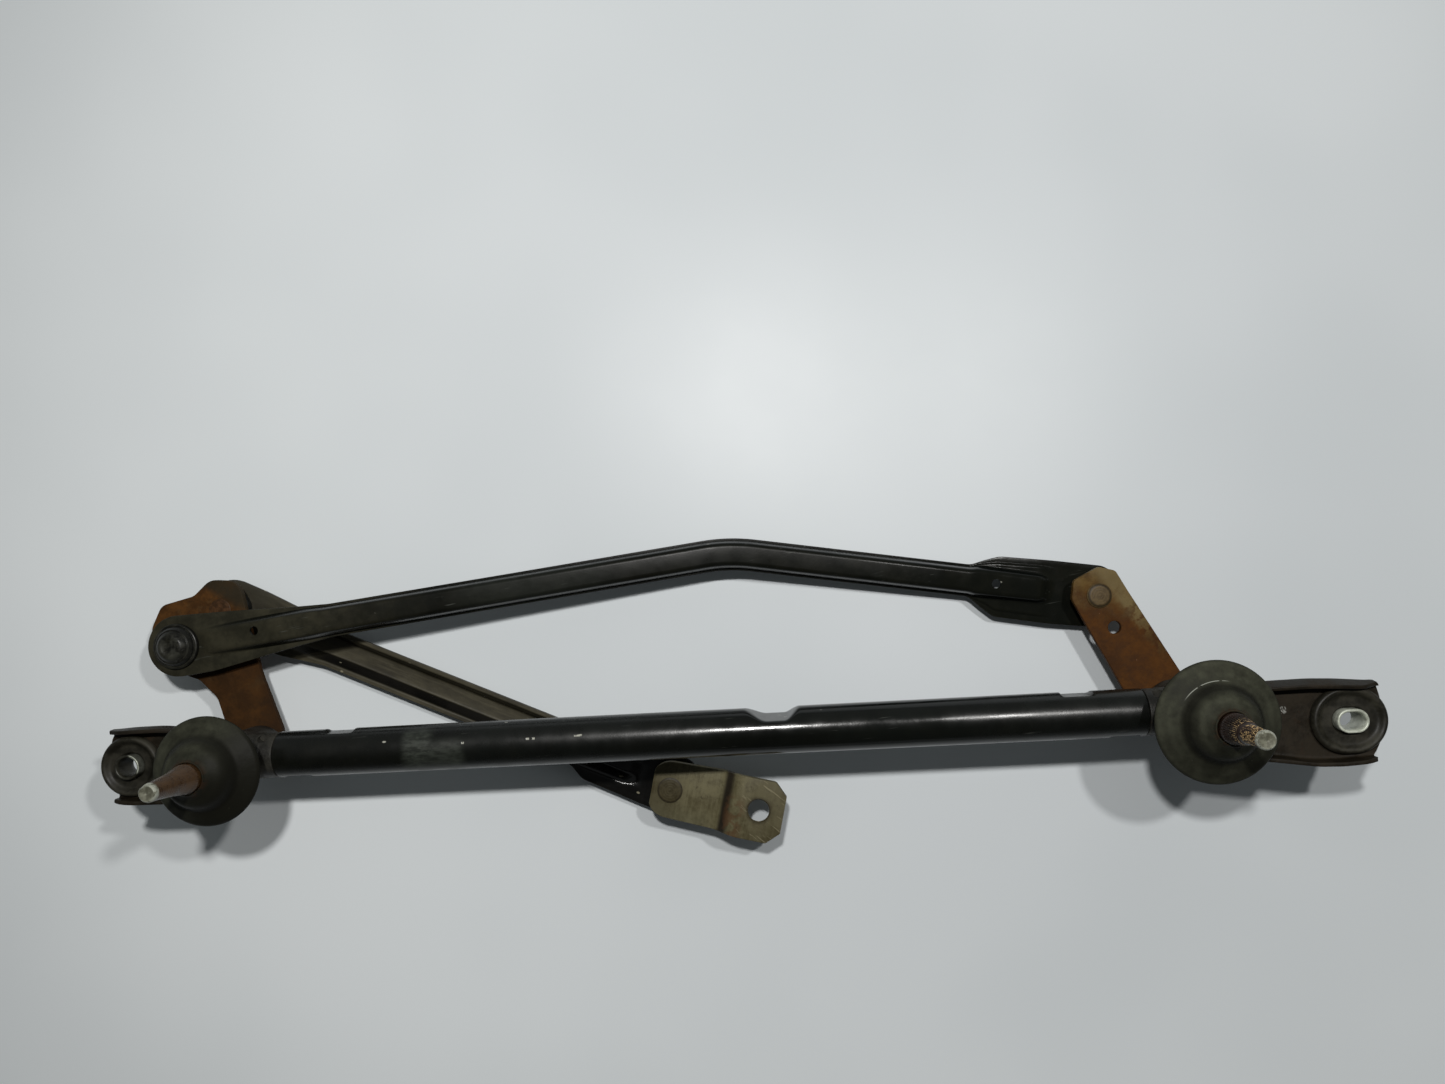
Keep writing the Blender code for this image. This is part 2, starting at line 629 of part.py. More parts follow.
def motor_crank(finish, parent, ball):
    """Crank plate, stepped up to the motor shaft's tapered hole at its far end."""
    step_up = 6.0
    end = CRANK_REACH + 12.6
    # distance from the ball, half-width, rise
    rows = [
        (-9.4, 8.8, 0.0), (-8.0, 11.0, 0.0), (-5.6, 13.0, 0.0), (-2.0, 14.2, 0.0), (24.0, 15.0, 0.0),
        (27.0, 15.1, 0.12 * step_up), (33.0, 15.4, 0.88 * step_up), (36.0, 15.4, step_up),
        (end - 6.4, 15.4, step_up), (end, 9.4, step_up),
    ]
    along = Vector((math.cos(CRANK_ANGLE), math.sin(CRANK_ANGLE)))
    normal = Vector((-along.y, along.x))
    loops = []
    for place, width, up in rows:
        corners = ((-width, LEVER_BOTTOM), (width, LEVER_BOTTOM), (width, LEVER_TOP), (-width, LEVER_TOP))
        loops.append([(*(along * place + normal * across), z + up) for across, z in corners])
    crank = piece("motor_crank", skin(loops, closed=False), finish, parent, ball)
    drill(crank, "motor_crank_stud_hole", ball, SHANK_R + GAP, LEVER_BOTTOM - 4, LEVER_TOP + 4)
    hole = Vector(ball) + along * CRANK_REACH
    bottom = LEVER_BOTTOM + step_up - 0.5
    top = LEVER_TOP + step_up + 0.5
    taper = turned([(0, bottom), (6.1, bottom), (5.1, top), (0, top)], ROUND)
    cut(crank, "motor_crank_shaft_hole", taper, tuple(hole))


# ---------------------------------------------------------------- assembly

def stand_centred(root):
    """Move the whole assembly so that its box is centred over the origin and stands at height 0."""
    bpy.context.view_layer.update()
    graph = bpy.context.evaluated_depsgraph_get()
    lows = [math.inf] * 3
    highs = [-math.inf] * 3
    for thing in bpy.context.scene.objects:
        if thing.type != "MESH" or thing.hide_render:
            continue
        data = thing.evaluated_get(graph).data
        for vertex in data.vertices:
            spot = thing.matrix_world @ vertex.co
            lows = [min(a, b) for a, b in zip(lows, spot)]
            highs = [max(a, b) for a, b in zip(highs, spot)]
    root.location = (-(lows[0] + highs[0]) / 2, -(lows[1] + highs[1]) / 2, -lows[2])
    bpy.context.view_layer.update()


def add(first, second):
    return (first[0] + second[0], first[1] + second[1])


def main():
    clear_scene()
    black_paint = material("black_paint", (0.03, 0.03, 0.032), 0.35, 0.3)
    cast_black = material("cast_black", (0.05, 0.05, 0.05), 0.6, 0.5)
    bracket_black = material("bracket_black", (0.045, 0.042, 0.036), 0.6, 0.2)
    rubber = material("rubber", (0.05, 0.055, 0.048), 0.85, 0.0)
    bronze = material("sintered_bronze", (0.45, 0.3, 0.14), 0.5, 0.9)
    zinc = material("zinc_sleeve", (0.55, 0.58, 0.48), 0.35, 0.9)
    rust_shaft = material("rusted_shaft_steel", (0.13, 0.07, 0.045), 0.6, 0.5)
    rust_lever = material("rusted_lever_steel", (0.35, 0.16, 0.06), 0.8, 0.2)
    olive = material("olive_zinc", (0.36, 0.31, 0.17), 0.5, 0.6)
    steel = material("plain_steel", (0.5, 0.5, 0.5), 0.4, 1.0)
    plastic = material("socket_plastic", (0.03, 0.03, 0.03), 0.45, 0.0)
    dusty_paint = material("dusty_olive_paint", (0.14, 0.12, 0.08), 0.6, 0.2)

    root = axis_empty("frame_origin", LEFT_PIVOT)
    frame_tube(black_paint, root)
    sides = (("left", LEFT_PIVOT, 1, LEFT_CAP_R), ("right", RIGHT_PIVOT, -1, RIGHT_CAP_R))
    for side, pivot, toward, cap_r in sides:
        pivot_housing(side, pivot, toward, cast_black, root)
        bushes(side, pivot, bronze, root)
        pivot_cap(side, pivot, cap_r, rubber, root)

    # distance from the pivot, lower edge, upper edge, web top, flange height
    left_stations = [
        (-13.0, -15.0, 15.0, RING_WEB_TOP, 3.0), (14.0, -16.0, 16.5, RING_WEB_TOP, 3.0),
        (21.0, -17.0, 19.0, WEB_TOP, 8.0), (30.0, -17.0, 20.0, WEB_TOP, 8.5), (44.0, -16.8, 19.4, WEB_TOP, 8.5),
        (66.0, -14.6, 17.4, WEB_TOP, 7.5),
    ]
    left_end = [
        (55.8, 40.0), (55.8, 17.0), (57.2, 14.6), (57.5, 12.0), (58.5, 9.0), (61.0, 6.0), (62.2, 1.5), (61.4, -3.0), (58.6, -8.0),
        (55.6, -11.0), (54.6, -14.0), (54.6, -40.0),
    ]
    right_stations = [
        (-13.0, -16.0, 15.0, RING_WEB_TOP, 3.0), (14.0, -18.5, 14.6, RING_WEB_TOP, 3.0),
        (21.0, -20.5, 14.8, WEB_TOP, 8.0), (32.0, -22.0, 15.2, WEB_TOP, 8.5), (48.0, -24.4, 15.4, WEB_TOP, 8.5),
        (60.0, -24.8, 14.8, WEB_TOP, 8.5), (88.0, -23.2, 11.8, WEB_TOP, 7.5),
    ]
    right_end = [
        (77.0, 40.0), (77.4, 12.6), (79.4, 9.6), (80.4, 5.6), (81.0, 2.0), (81.2, -4.0), (81.0, -10.0),
        (80.2, -13.0), (79.6, -16.0), (77.6, -20.0), (75.6, -22.4), (75.2, -40.0),
    ]
    mount_bracket("left", LEFT_PIVOT, -1, left_stations, 1.0, left_end, LEFT_EYE, bracket_black, root)
    mount_bracket("right", RIGHT_PIVOT, 1, right_stations, 3.0, right_end, RIGHT_EYE, bracket_black, root)
    grommet("left", LEFT_PIVOT, LEFT_EYE, (30.0, 29.6), (9.4, 9.0), rubber, zinc, root)
    grommet("right", RIGHT_PIVOT, RIGHT_EYE, (34.4, 31.0), (11.2, 7.8), rubber, zinc, root)

    left_axis = axis_empty("left_pivot_axis", LEFT_PIVOT, root)
    right_axis = axis_empty("right_pivot_axis", RIGHT_PIVOT, root)
    for side, pivot, finish, parent in (
        ("left", LEFT_PIVOT, rust_shaft, left_axis), ("right", RIGHT_PIVOT, rust_shaft, right_axis),
    ):
        hole_r = shaft(side, pivot, finish, parent)
        washers(side, pivot, steel, parent)

    stud_r = SHANK_R + GAP
    left_corners = [
        (13.0, -14.0, 12.0), (9.5, 10.3, 14.0), (-0.5, 40.0, 20.0), (-9.5, 87.5, 9.0), (-25.0, 89.0, 8.0),
        (-34.0, 81.0, 7.0), (-51.5, 77.0, 6.0), (-58.0, 64.0, 9.0), (-50.0, 44.0, 12.0), (-33.0, 37.5, 8.0),
        (-24.0, 28.0, 9.0), (-20.0, 14.0, 12.0), (-13.5, -14.0, 12.0),
    ]
    left_holes = [(0.0, 0.0, hole_r), (*LEFT_LINK_BALL, stud_r), (*LEFT_DRIVE_BALL, stud_r)]
    lever("left", LEFT_PIVOT, left_corners, left_holes, rust_lever, left_axis)
    right_corners = [
        (13.0, -14.0, 12.0), (8.5, 12.0, 14.0), (-16.5, 57.0, 8.0), (-22.0, 67.5, 3.0), (-30.0, 69.8, 3.0),
        (-42.6, 63.6, 3.0), (-44.2, 54.4, 5.0), (-14.5, -6.5, 7.0), (-10.0, -14.0, 6.0),
    ]
    right_holes = [(0.0, 0.0, hole_r), (*RIGHT_LINK_BALL, stud_r), (-24.2, 39.4, 3.2)]
    lever("right", RIGHT_PIVOT, right_corners, right_holes, olive, right_axis)

    left_ball = add(LEFT_PIVOT, LEFT_LINK_BALL)
    drive_ball = add(LEFT_PIVOT, LEFT_DRIVE_BALL)
    right_ball = add(RIGHT_PIVOT, RIGHT_LINK_BALL)
    ball_stud("left_link_stud", left_ball, 1, olive, left_axis)
    ball_stud("left_drive_stud", drive_ball, -1, olive, left_axis)
    ball_stud("right_link_stud", right_ball, -1, olive, right_axis)

    link_axis = axis_empty("long_link_axis", left_ball, left_axis)
    long_link(black_paint, link_axis, left_ball, (245.0, 87.5), right_ball)
    for name, place, ball_z, up, play in (
        ("long_link_left", left_ball, HIGH_BALL_Z, 1, 0.0),
        ("long_link_right", right_ball, LOW_BALL_Z, -1, OPEN_PIVOT_PLAY),
    ):
        socket(name + "_socket", place, ball_z, up, play, plastic, link_axis)
        seal(name + "_seal", place, ball_z, up, play, rubber, link_axis)

    drive_axis = axis_empty("drive_link_axis", drive_ball, left_axis)
    drive_link(dusty_paint, drive_axis, drive_ball, CRANK_BALL)
    for name, place in (("drive_link_lever", drive_ball), ("drive_link_crank", CRANK_BALL)):
        socket(name + "_socket", place, LOW_BALL_Z, -1, 0.0, plastic, drive_axis)
        seal(name + "_seal", place, LOW_BALL_Z, -1, 0.0, rubber, drive_axis)

    crank_axis = axis_empty("crank_axis", CRANK_BALL, drive_axis)
    motor_crank(olive, crank_axis, CRANK_BALL)
    ball_stud("crank_stud", CRANK_BALL, -1, olive, crank_axis)
    stand_centred(root)


main()
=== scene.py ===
import json
import math

import bmesh
import bpy
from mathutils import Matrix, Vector
from mathutils.geometry import tessellate_polygon


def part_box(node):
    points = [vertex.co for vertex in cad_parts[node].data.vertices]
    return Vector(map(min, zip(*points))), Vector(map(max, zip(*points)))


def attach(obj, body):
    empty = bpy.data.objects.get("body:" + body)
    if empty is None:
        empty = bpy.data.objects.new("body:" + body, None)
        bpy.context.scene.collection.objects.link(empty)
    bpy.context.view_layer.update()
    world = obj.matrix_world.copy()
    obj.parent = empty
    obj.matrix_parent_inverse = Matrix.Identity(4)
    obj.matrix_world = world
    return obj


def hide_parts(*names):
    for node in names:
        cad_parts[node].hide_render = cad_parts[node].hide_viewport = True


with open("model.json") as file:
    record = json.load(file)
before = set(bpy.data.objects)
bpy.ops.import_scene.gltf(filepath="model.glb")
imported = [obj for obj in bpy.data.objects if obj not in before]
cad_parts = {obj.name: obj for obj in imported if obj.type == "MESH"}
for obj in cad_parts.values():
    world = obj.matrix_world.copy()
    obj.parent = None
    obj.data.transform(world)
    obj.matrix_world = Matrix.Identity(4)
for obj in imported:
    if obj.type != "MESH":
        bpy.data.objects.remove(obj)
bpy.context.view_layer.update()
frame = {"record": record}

# Looks of the windshield wiper assembly: a fine mesh and a worn finish for each piece of the frame.
#
# Sizes are in millimetres, in the assembly's own frame: X joins the two pivots, Z runs up their shafts,
# and zero is where the left pivot's axis meets the floor. Meshes are in metres and stand at ORIGIN.

MM = 0.001


def centre_of(node):
    """A CAD node's middle, seen from above, in metres."""
    low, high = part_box(node)
    return Vector(((low.x + high.x) / 2, (low.y + high.y) / 2, 0.0))


ORIGIN = centre_of("left_shaft")
BODIES = frame["record"]["behaviour"]["bodies"]
BODY_OF = {node: body for body, nodes in BODIES.items() for node in nodes}

# ---------------------------------------------------------------- sizes, millimetres

PIVOT_SPACING = (centre_of("right_shaft") - ORIGIN).x / MM
LEFT_PIVOT = (0.0, 0.0)
RIGHT_PIVOT = (PIVOT_SPACING, 0.0)
GAP = 0.3

LEVER_BOTTOM = 18.0
LEVER_TOP = 21.5
LOW_BALL_Z = 8.5
HIGH_BALL_Z = 31.0
TUBE_Z = 50.75
RIM_Z = 75.75
TIP_Z = 119.35

TUBE_R = 11.0
TUBE_WALL = 1.5
TUBE_Y = 2.0
TUBE_INSET = 24.0
CRIMP_DEPTH = 1.3
CRIMP_HALF = 7.0
FRONT_CRIMP = 9.0
REAR_CRIMP = 30.0
PINCH_X = 264.0
PINCH_LEFT = 15.0
PINCH_RIGHT = 12.0
PINCH_DEPTH = 4.5
PINCH_ANGLE = math.radians(6.0)

SHAFT_R = 6.8
GROOVE_Z = 72.7
GROOVE_R = 5.9
GROOVE = 1.6
CLIP = 1.1
CONE_BOTTOM = TIP_Z - 26.5
CONE_TOP = TIP_Z - 16.5
THREAD_BOTTOM = TIP_Z - 15.0
THREAD_R = 4.0
THREAD_PITCH = 1.25
KNURL_TEETH = 40
BUSH_BORE_R = 6.9
BUSH_R = 8.5
BUSH_LENGTH = 12.0
BUSH_FLANGE_R = 10.3
BUSH_FLANGE = 0.8
HOUSING_BORE_R = BUSH_R + GAP
HOUSING_BOTTOM = 24.0
HOUSING_TOP = 70.0
BARREL_R = 10.8
SHOULDER_R = 13.0
SPIGOT_R = TUBE_R - TUBE_WALL - GAP
SPIGOT_REACH = 46.0
LEFT_CAP_R = 25.6
RIGHT_CAP_R = 27.6

BALL_R = 5.5
NECK_R = 3.2
RIVET_R = 5.9
SHANK_R = 3.0
SOCKET_R = 10.0
SOCKET_FLANGE_R = 11.5
OPEN_PIVOT_PLAY = 2.0

LEFT_LINK_BALL = (-37.4, 56.1)
LEFT_DRIVE_BALL = (-20.0, 73.0)
RIGHT_LINK_BALL = (PIVOT_SPACING - 30.8, 55.6)
CRANK_BALL = (208.7, -30.5)
CRANK_REACH = 45.5
CRANK_ANGLE = math.radians(-14.0)
LINK_CORNER = (245.0, 87.5)
LINK_BEND_R = 90.0
LINK_SHEET = 1.5
LEFT_LINK_HOLE = (5.2, 62.0)
RIGHT_LINK_HOLE = (379.0, 64.0)
LINK_HOLE_R = 2.3
END_R = 15.5

BRACKET_SHEET = 2.0
WEB_TOP = 55.75
RING_WEB_TOP = 65.0
LEFT_EYE = (-47.3, 1.0)
RIGHT_EYE = (PIVOT_SPACING + 65.6, -5.0)
GROMMET_NECK_R = 11.0
SLEEVE_HEIGHT = 13.0

# Points round a turned piece, and round a small one.
FINE = 112
SMALL = 64

# The camera, and the two lamps that cast the double shadow, from the assembly's zero.
CAMERA_PLACE = (267.64, 83.29, 526.70)
CAMERA_TILT = (0.937, 2.920, -3.307)
CAMERA_LENS = 24.91
SENSOR_WIDTH = 36.0
# place and power of each lamp
LAMPS = (((237.0, 290.0, 740.0), 3.62), ((545.0, 305.0, 765.0), 2.28))
LAMP_SIZE = 42.0
LAMP_COLOUR = (1.0, 0.985, 0.96)
LAMPS_FACE = (PIVOT_SPACING / 2, 20.0, 30.0)
# The floor's width in metres, and the sky: dark to the front, paler to the rear, grey near the horizon.
FLOOR_WIDTH = 30.0
SKY_FRONT = (0.30, (0.027, 0.029, 0.030, 1))
SKY_REAR = (0.85, (0.185, 0.196, 0.196, 1))
HORIZON_GREY = (0.165, 0.175, 0.178, 1)
HORIZON_HEIGHT = (0.10, 0.26)


# ---------------------------------------------------------------- lines and outlines

def ease(share):
    """A smooth step from 0 to 1."""
    share = min(max(share, 0.0), 1.0)
    return share * share * (3 - 2 * share)


def circle(radius, count, x=0.0, y=0.0):
    turns = [2 * math.pi * k / count - math.pi / 2 for k in range(count)]
    return [(x + radius * math.cos(a), y + radius * math.sin(a)) for a in turns]


def oblong(length, width, count, x=0.0, y=0.0):
    """A slot's outline with round ends, long side along X, from its lowest right point on."""
    half = count // 2
    points = []
    for side in (1, -1):
        for k in range(half):
            angle = -math.pi / 2 + math.pi * k / (half - 1) + (0 if side > 0 else math.pi)
            middle = x + side * (length - width) / 2
            points.append((middle + width / 2 * math.cos(angle), y + width / 2 * math.sin(angle)))
    return points


def rounded(corners, steps=10):
    """Follow (x, y, radius) corners, with a fillet arc in place of each."""
    points = []
    for index, (x, y, radius) in enumerate(corners):
        corner = Vector((x, y))
        before = Vector(corners[index - 1][:2]) - corner
        after = Vector(corners[(index + 1) % len(corners)][:2]) - corner
        before.normalize()
        after.normalize()
        half = before.angle(after) / 2
        middle = corner + (before + after).normalized() * radius / math.sin(half)
        first = corner + before * radius / math.tan(half) - middle
        last = corner + after * radius / math.tan(half) - middle
        sweep = first.angle_signed(last)
        for k in range(steps + 1):
            angle = math.atan2(first.y, first.x) - sweep * k / steps
            points.append((middle.x + radius * math.cos(angle), middle.y + radius * math.sin(angle)))
    return points


def eased(corners, steps=5):
    """Follow an open line of (x, y, reach) corners, each bent into a curve from reach before it on."""
    points = []
    for index, (x, y, reach) in enumerate(corners):
        corner = Vector((x, y))
        if reach == 0 or index in (0, len(corners) - 1):
            points.append((x, y))
            continue
        before = Vector(corners[index - 1][:2]) - corner
        after = Vector(corners[index + 1][:2]) - corner
        first = corner + before.normalized() * min(reach, before.length * 0.45)
        last = corner + after.normalized() * min(reach, after.length * 0.45)
        for k in range(steps + 1):
            share = k / steps
            spot = first * (1 - share) ** 2 + corner * 2 * share * (1 - share) + last * share ** 2
            points.append((spot.x, spot.y))
    return points


def strip(line, thickness, edge=0.35, steps=3):
    """Close an open line of (across, height) points into a sheet with rounded free edges."""
    points = [Vector(point) for point in line]
    normals = []
    for index in range(len(points)):
        along = points[min(index + 1, len(points) - 1)] - points[max(index - 1, 0)]
        along.normalize()
        normals.append(Vector((-along.y, along.x)))
    start = (points[1] - points[0]).normalized()
    end = (points[-1] - points[-2]).normalized()
    half = thickness / 2

    def corner(tip, inward, normal, side):
        middle = tip + inward * edge + normal * side * (half - edge)
        turns = [math.pi / 2 * k / steps for k in range(steps + 1)]
        return [middle + edge * (normal * side * math.cos(a) - inward * math.sin(a)) for a in turns]

    def face(side):
        middle = [p + n * side * half for p, n in zip(points[1:-1], normals[1:-1])]
        first = corner(points[0], start, normals[0], side)[::-1]
        return first + middle + corner(points[-1], -end, normals[-1], side)

    return face(1) + face(-1)[::-1]


def between(table, place):
    """Read a table of (place, value, ...) rows in straight steps between its rows."""
    for first, second in zip(table, table[1:]):
        if place <= second[0]:
            share = (place - first[0]) / (second[0] - first[0])
            return [a + (b - a) * share for a, b in zip(first[1:], second[1:])]
    return list(table[-1][1:])


def softened(table, place, reach):
    """The same, with the table's corners rounded over a reach on each side."""
    samples = [between(table, place + reach * k / 4) for k in range(-4, 5)]
    return [sum(column) / len(samples) for column in zip(*samples)]


def steps_between(first, last, spacing):
    count = max(1, round((last - first) / spacing))
    return [first + (last - first) * k / count for k in range(count + 1)]


# ---------------------------------------------------------------- meshes

def join_loops(mesh, first, second):
    """Put faces between two rings of vertices, either of which may be one point."""
    count = max(len(first), len(second))
    for k in range(count):
        a = first[k % len(first)]
        b = first[(k + 1) % len(first)]
        c = second[(k + 1) % len(second)]
        d = second[k % len(second)]
        corners = [v for n, v in enumerate((a, b, c, d)) if v not in (a, b, c, d)[:n]]
        if len(corners) > 2:
            mesh.faces.new(corners)


def skin(loops, closed=False):
    """Skin a row of loops. A closed row comes back to its start, and an open one has flat ends."""
    mesh = bmesh.new()
    rings = [[mesh.verts.new(Vector(point) * MM) for point in loop] for loop in loops]
    for first, second in zip(rings, rings[1:]):
        join_loops(mesh, first, second)
    if closed:
        join_loops(mesh, rings[-1], rings[0])
    else:
        for ring in (rings[0], rings[-1]):
            if len(ring) > 1:
                mesh.faces.new(ring)
    bmesh.ops.recalc_face_normals(mesh, faces=mesh.faces)
    return mesh


def rings(profile, place, count):
    """A loop round an upright axis for each (radius, height), or one point where the radius is 0."""
    return [
        [(x, y, height) for x, y in circle(radius, count, *place)] if radius else [(*place, height)]
        for radius, height in profile
    ]


def turned(profile, place, count=FINE):
    """Turn (radius, height) points round +Z. Points at radius 0 close the piece on its axis."""
    return skin(rings(profile, place, count), closed=all(point[0] > 0 for point in profile))


def inset(outline, distance):
    """An outline moved to its left by a distance, which is inward where it runs anticlockwise."""
    moved = []
    for index, point in enumerate(outline):
        here = Vector(point)
        before = (here - Vector(outline[index - 1])).normalized()
        after = (Vector(outline[(index + 1) % len(outline)]) - here).normalized()
        first = Vector((-before.y, before.x))
        second = Vector((-after.y, after.x))
        middle = (first + second).normalized()
        moved.append(tuple(here + middle * distance / max(middle.dot(first), 0.4)))
    return moved


def plate(outlines, bottom, top, edge=0.0, steps=3):
    """A flat plate with rounded edges: the first outline is its edge and the others are its holes."""
    turns = [math.pi / 2 * k / steps for k in range(steps + 1)]
    rows = [(edge * (1 - math.sin(a)), bottom + edge * (1 - math.cos(a))) for a in turns]
    rows += [(back, top + bottom - height) for back, height in reversed(rows)]
    if edge == 0:
        rows = [(0.0, bottom), (0.0, top)]
    mesh = bmesh.new()
    lids = {0: [], len(rows) - 1: []}
    flat = []
    for number, outline in enumerate(outlines):
        way = outline_way(outline) if number == 0 else -outline_way(outline)
        rings = []
        for back, height in rows:
            edge_line = inset(outline, back * way) if back else outline
            rings.append([mesh.verts.new(Vector((x, y, height)) * MM) for x, y in edge_line])
            if height == rows[0][1]:
                flat.append([Vector((x, y, 0)) for x, y in edge_line])
        for first, second in zip(rings, rings[1:]):
            join_loops(mesh, first, second)
        for row in lids:
            lids[row] += rings[row]
    fill = tessellate_polygon(flat)
    for verts in lids.values():
        for corners in fill:
            mesh.faces.new([verts[k] for k in corners])
    bmesh.ops.recalc_face_normals(mesh, faces=mesh.faces)
    return mesh


def outline_way(outline):
    """1 if an outline runs anticlockwise, -1 if it doesn't."""
    area = sum(a[0] * b[1] - b[0] * a[1] for a, b in zip(outline, outline[1:] + outline[:1]))
    return 1 if area > 0 else -1


def add_object(name, data):
    thing = bpy.data.objects.new(name, data)
    bpy.context.scene.collection.objects.link(thing)
    return thing


def loose_object(name, mesh):
    data = bpy.data.meshes.new(name)
    mesh.to_mesh(data)
    mesh.free()
    return add_object(name, data)


def carve(mesh, tools, operation="DIFFERENCE"):
    """Cut meshes out of a mesh, or join them on, and hand back the result."""
    body = loose_object("carved", mesh)
    cutters = [loose_object("cutter", tool) for tool in tools]
    for cutter in cutters:
        step = body.modifiers.new("carve", "BOOLEAN")
        step.operation = operation
        step.solver = "EXACT"
        step.object = cutter
    bpy.context.view_layer.update()
    graph = bpy.context.evaluated_depsgraph_get()
    result = bmesh.new()
    result.from_mesh(body.evaluated_get(graph).data)
    for thing in [body] + cutters:
        bpy.data.objects.remove(thing)
    return result


def drill(place, radius, bottom, top, chamfer=0.0):
    """A round cutter through a sheet whose faces are at bottom and top, flared a little at both."""
    profile = [
        (0, bottom - 5), (radius + chamfer, bottom - 5), (radius + chamfer, bottom),
        (radius, bottom + chamfer),
        (radius, top - chamfer), (radius + chamfer, top), (radius + chamfer, top + 5), (0, top + 5),
    ]
    if chamfer == 0:
        profile = [(0, bottom - 5), (radius, bottom - 5), (radius, top + 5), (0, top + 5)]
    return turned(profile, place, SMALL)


def piece(node, mesh, finish, sharp=32):
    """Make the fine piece that stands for a CAD node and rides on that node's body."""
    thing = loose_object(node + "_fine", mesh)
    thing.data.shade_smooth()
    thing.data.set_sharp_from_angle(angle=math.radians(sharp))
    thing.data.materials.append(finish)
    thing.location = ORIGIN
    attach(thing, BODY_OF[node])
    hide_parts(node)
    return thing


# ---------------------------------------------------------------- finishes

class Finish:
    """A material being built: a Principled shader and the chains of nodes that feed it.

    Its pattern space is the piece's own space in millimetres, measured from a place in the assembly.
    """

    def __init__(self, name, metallic=0.0, specular=0.5, place=(0.0, 0.0)):
        self.material = bpy.data.materials.new(name)
        self.material.use_nodes = True
        self.tree = self.material.node_tree
        self.shader = self.tree.nodes["Principled BSDF"]
        self.shader.inputs["Metallic"].default_value = metallic
        self.shader.inputs["Specular IOR Level"].default_value = specular
        source = self.node("ShaderNodeTexCoord")
        self.facing = self.split(source.outputs["Normal"])
        scale = self.node("ShaderNodeMapping")
        scale.inputs["Scale"].default_value = (1 / MM, 1 / MM, 1 / MM)
        scale.inputs["Location"].default_value = (-place[0], -place[1], 0.0)
        self.feed(scale.inputs["Vector"], source.outputs["Object"])
        self.space = scale.outputs["Vector"]
        self.x, self.y, self.z = self.split(self.space)
        self.normal = None

    def node(self, kind, **settings):
        made = self.tree.nodes.new(kind)
        for name, value in settings.items():
            setattr(made, name, value)
        return made

    def feed(self, socket, value):
        if isinstance(value, bpy.types.NodeSocket):
            self.tree.links.new(value, socket)
        elif isinstance(value, tuple) and len(value) == 3 and socket.type == "RGBA":
            socket.default_value = (*value, 1.0)
        else:
            socket.default_value = value

    def split(self, vector):
        parts = self.node("ShaderNodeSeparateXYZ")
        self.feed(parts.inputs[0], vector)
        return parts.outputs[0], parts.outputs[1], parts.outputs[2]

    def math(self, operation, *values, clamp=False):
        step = self.node("ShaderNodeMath", operation=operation, use_clamp=clamp)
        for socket, value in zip(step.inputs, values):
            self.feed(socket, value)
        return step.outputs[0]

    def both(self, *masks):
        """The product of masks."""
        result = masks[0]
        for mask in masks[1:]:
            result = self.math("MULTIPLY", result, mask)
        return result

    def either(self, first, second):
        return self.math("MAXIMUM", first, second)

    def less(self, mask):
        return self.math("SUBTRACT", 1.0, mask)

    def ramp(self, value, low, high):
        """0 up to low, 1 from high on, and smooth in between."""
        step = self.node("ShaderNodeMapRange", interpolation_type="SMOOTHSTEP")
        self.feed(step.inputs["Value"], value)
        step.inputs["From Min"].default_value = low
        step.inputs["From Max"].default_value = high
        return step.outputs["Result"]

    def scale(self, value, low, high):
        """A 0 to 1 value taken to low to high."""
        step = self.node("ShaderNodeMapRange")
        self.feed(step.inputs["Value"], value)
        step.inputs["To Min"].default_value = low
        step.inputs["To Max"].default_value = high
        return step.outputs["Result"]

    def pattern(self, kind, size, stretch, turn, seed, shift):
        """A texture with cells about size across, stretched, turned about Z and shifted by seed."""
        space = self.node("ShaderNodeMapping", vector_type="TEXTURE")
        space.inputs["Scale"].default_value = tuple(size * part for part in stretch)
        space.inputs["Rotation"].default_value = (0.0, 0.0, math.radians(turn))
        space.inputs["Location"].default_value = tuple(seed * size * part for part in shift)
        self.feed(space.inputs["Vector"], self.space)
        made = self.node(kind)
        made.inputs["Scale"].default_value = 1.0
        self.feed(made.inputs["Vector"], space.outputs["Vector"])
        return made

    def noise(self, size, detail=4.0, rough=0.6, stretch=(1, 1, 1), turn=0.0, seed=0.0, twist=0.0):
        """Cloudy noise round 0.5, whose clouds are about size across."""
        made = self.pattern("ShaderNodeTexNoise", size, stretch, turn, seed, (7.3, 3.1, 5.7))
        made.inputs["Detail"].default_value = detail
        made.inputs["Roughness"].default_value = rough
        made.inputs["Distortion"].default_value = twist
        return made.outputs["Fac"]

    def cloud(self, size, low, high, **settings):
        """Noise that is 0 where it is under low and 1 where it is over high."""
        return self.ramp(self.noise(size, **settings), low, high)

    def flecks(self, size, radius, seed=0.0, stretch=(1, 1, 1), turn=0.0):
        """1 in small round flecks, one in each cell of about size across."""
        made = self.pattern("ShaderNodeTexVoronoi", size, stretch, turn, seed, (2.3, 4.1, 1.7))
        return self.less(self.ramp(made.outputs["Distance"], radius * 0.6, radius))

    def box(self, low, high, soft):
        """1 inside a box between two places, with soft sides. None leaves a side open."""
        mask = None
        for value, start, end in zip((self.x, self.y, self.z), low, high):
            for limit, way in ((start, 1), (end, -1)):
                if limit is None:
                    continue
                side = self.ramp(value, limit - soft, limit + soft)
                side = side if way > 0 else self.less(side)
                mask = side if mask is None else self.both(mask, side)
        return mask

    def beyond(self, direction, distance, soft):
        """1 past a distance along a flat direction."""
        along = self.math("MULTIPLY", self.x, direction[0])
        along = self.math("MULTIPLY_ADD", self.y, direction[1], along)
        return self.ramp(along, distance - soft, distance + soft)

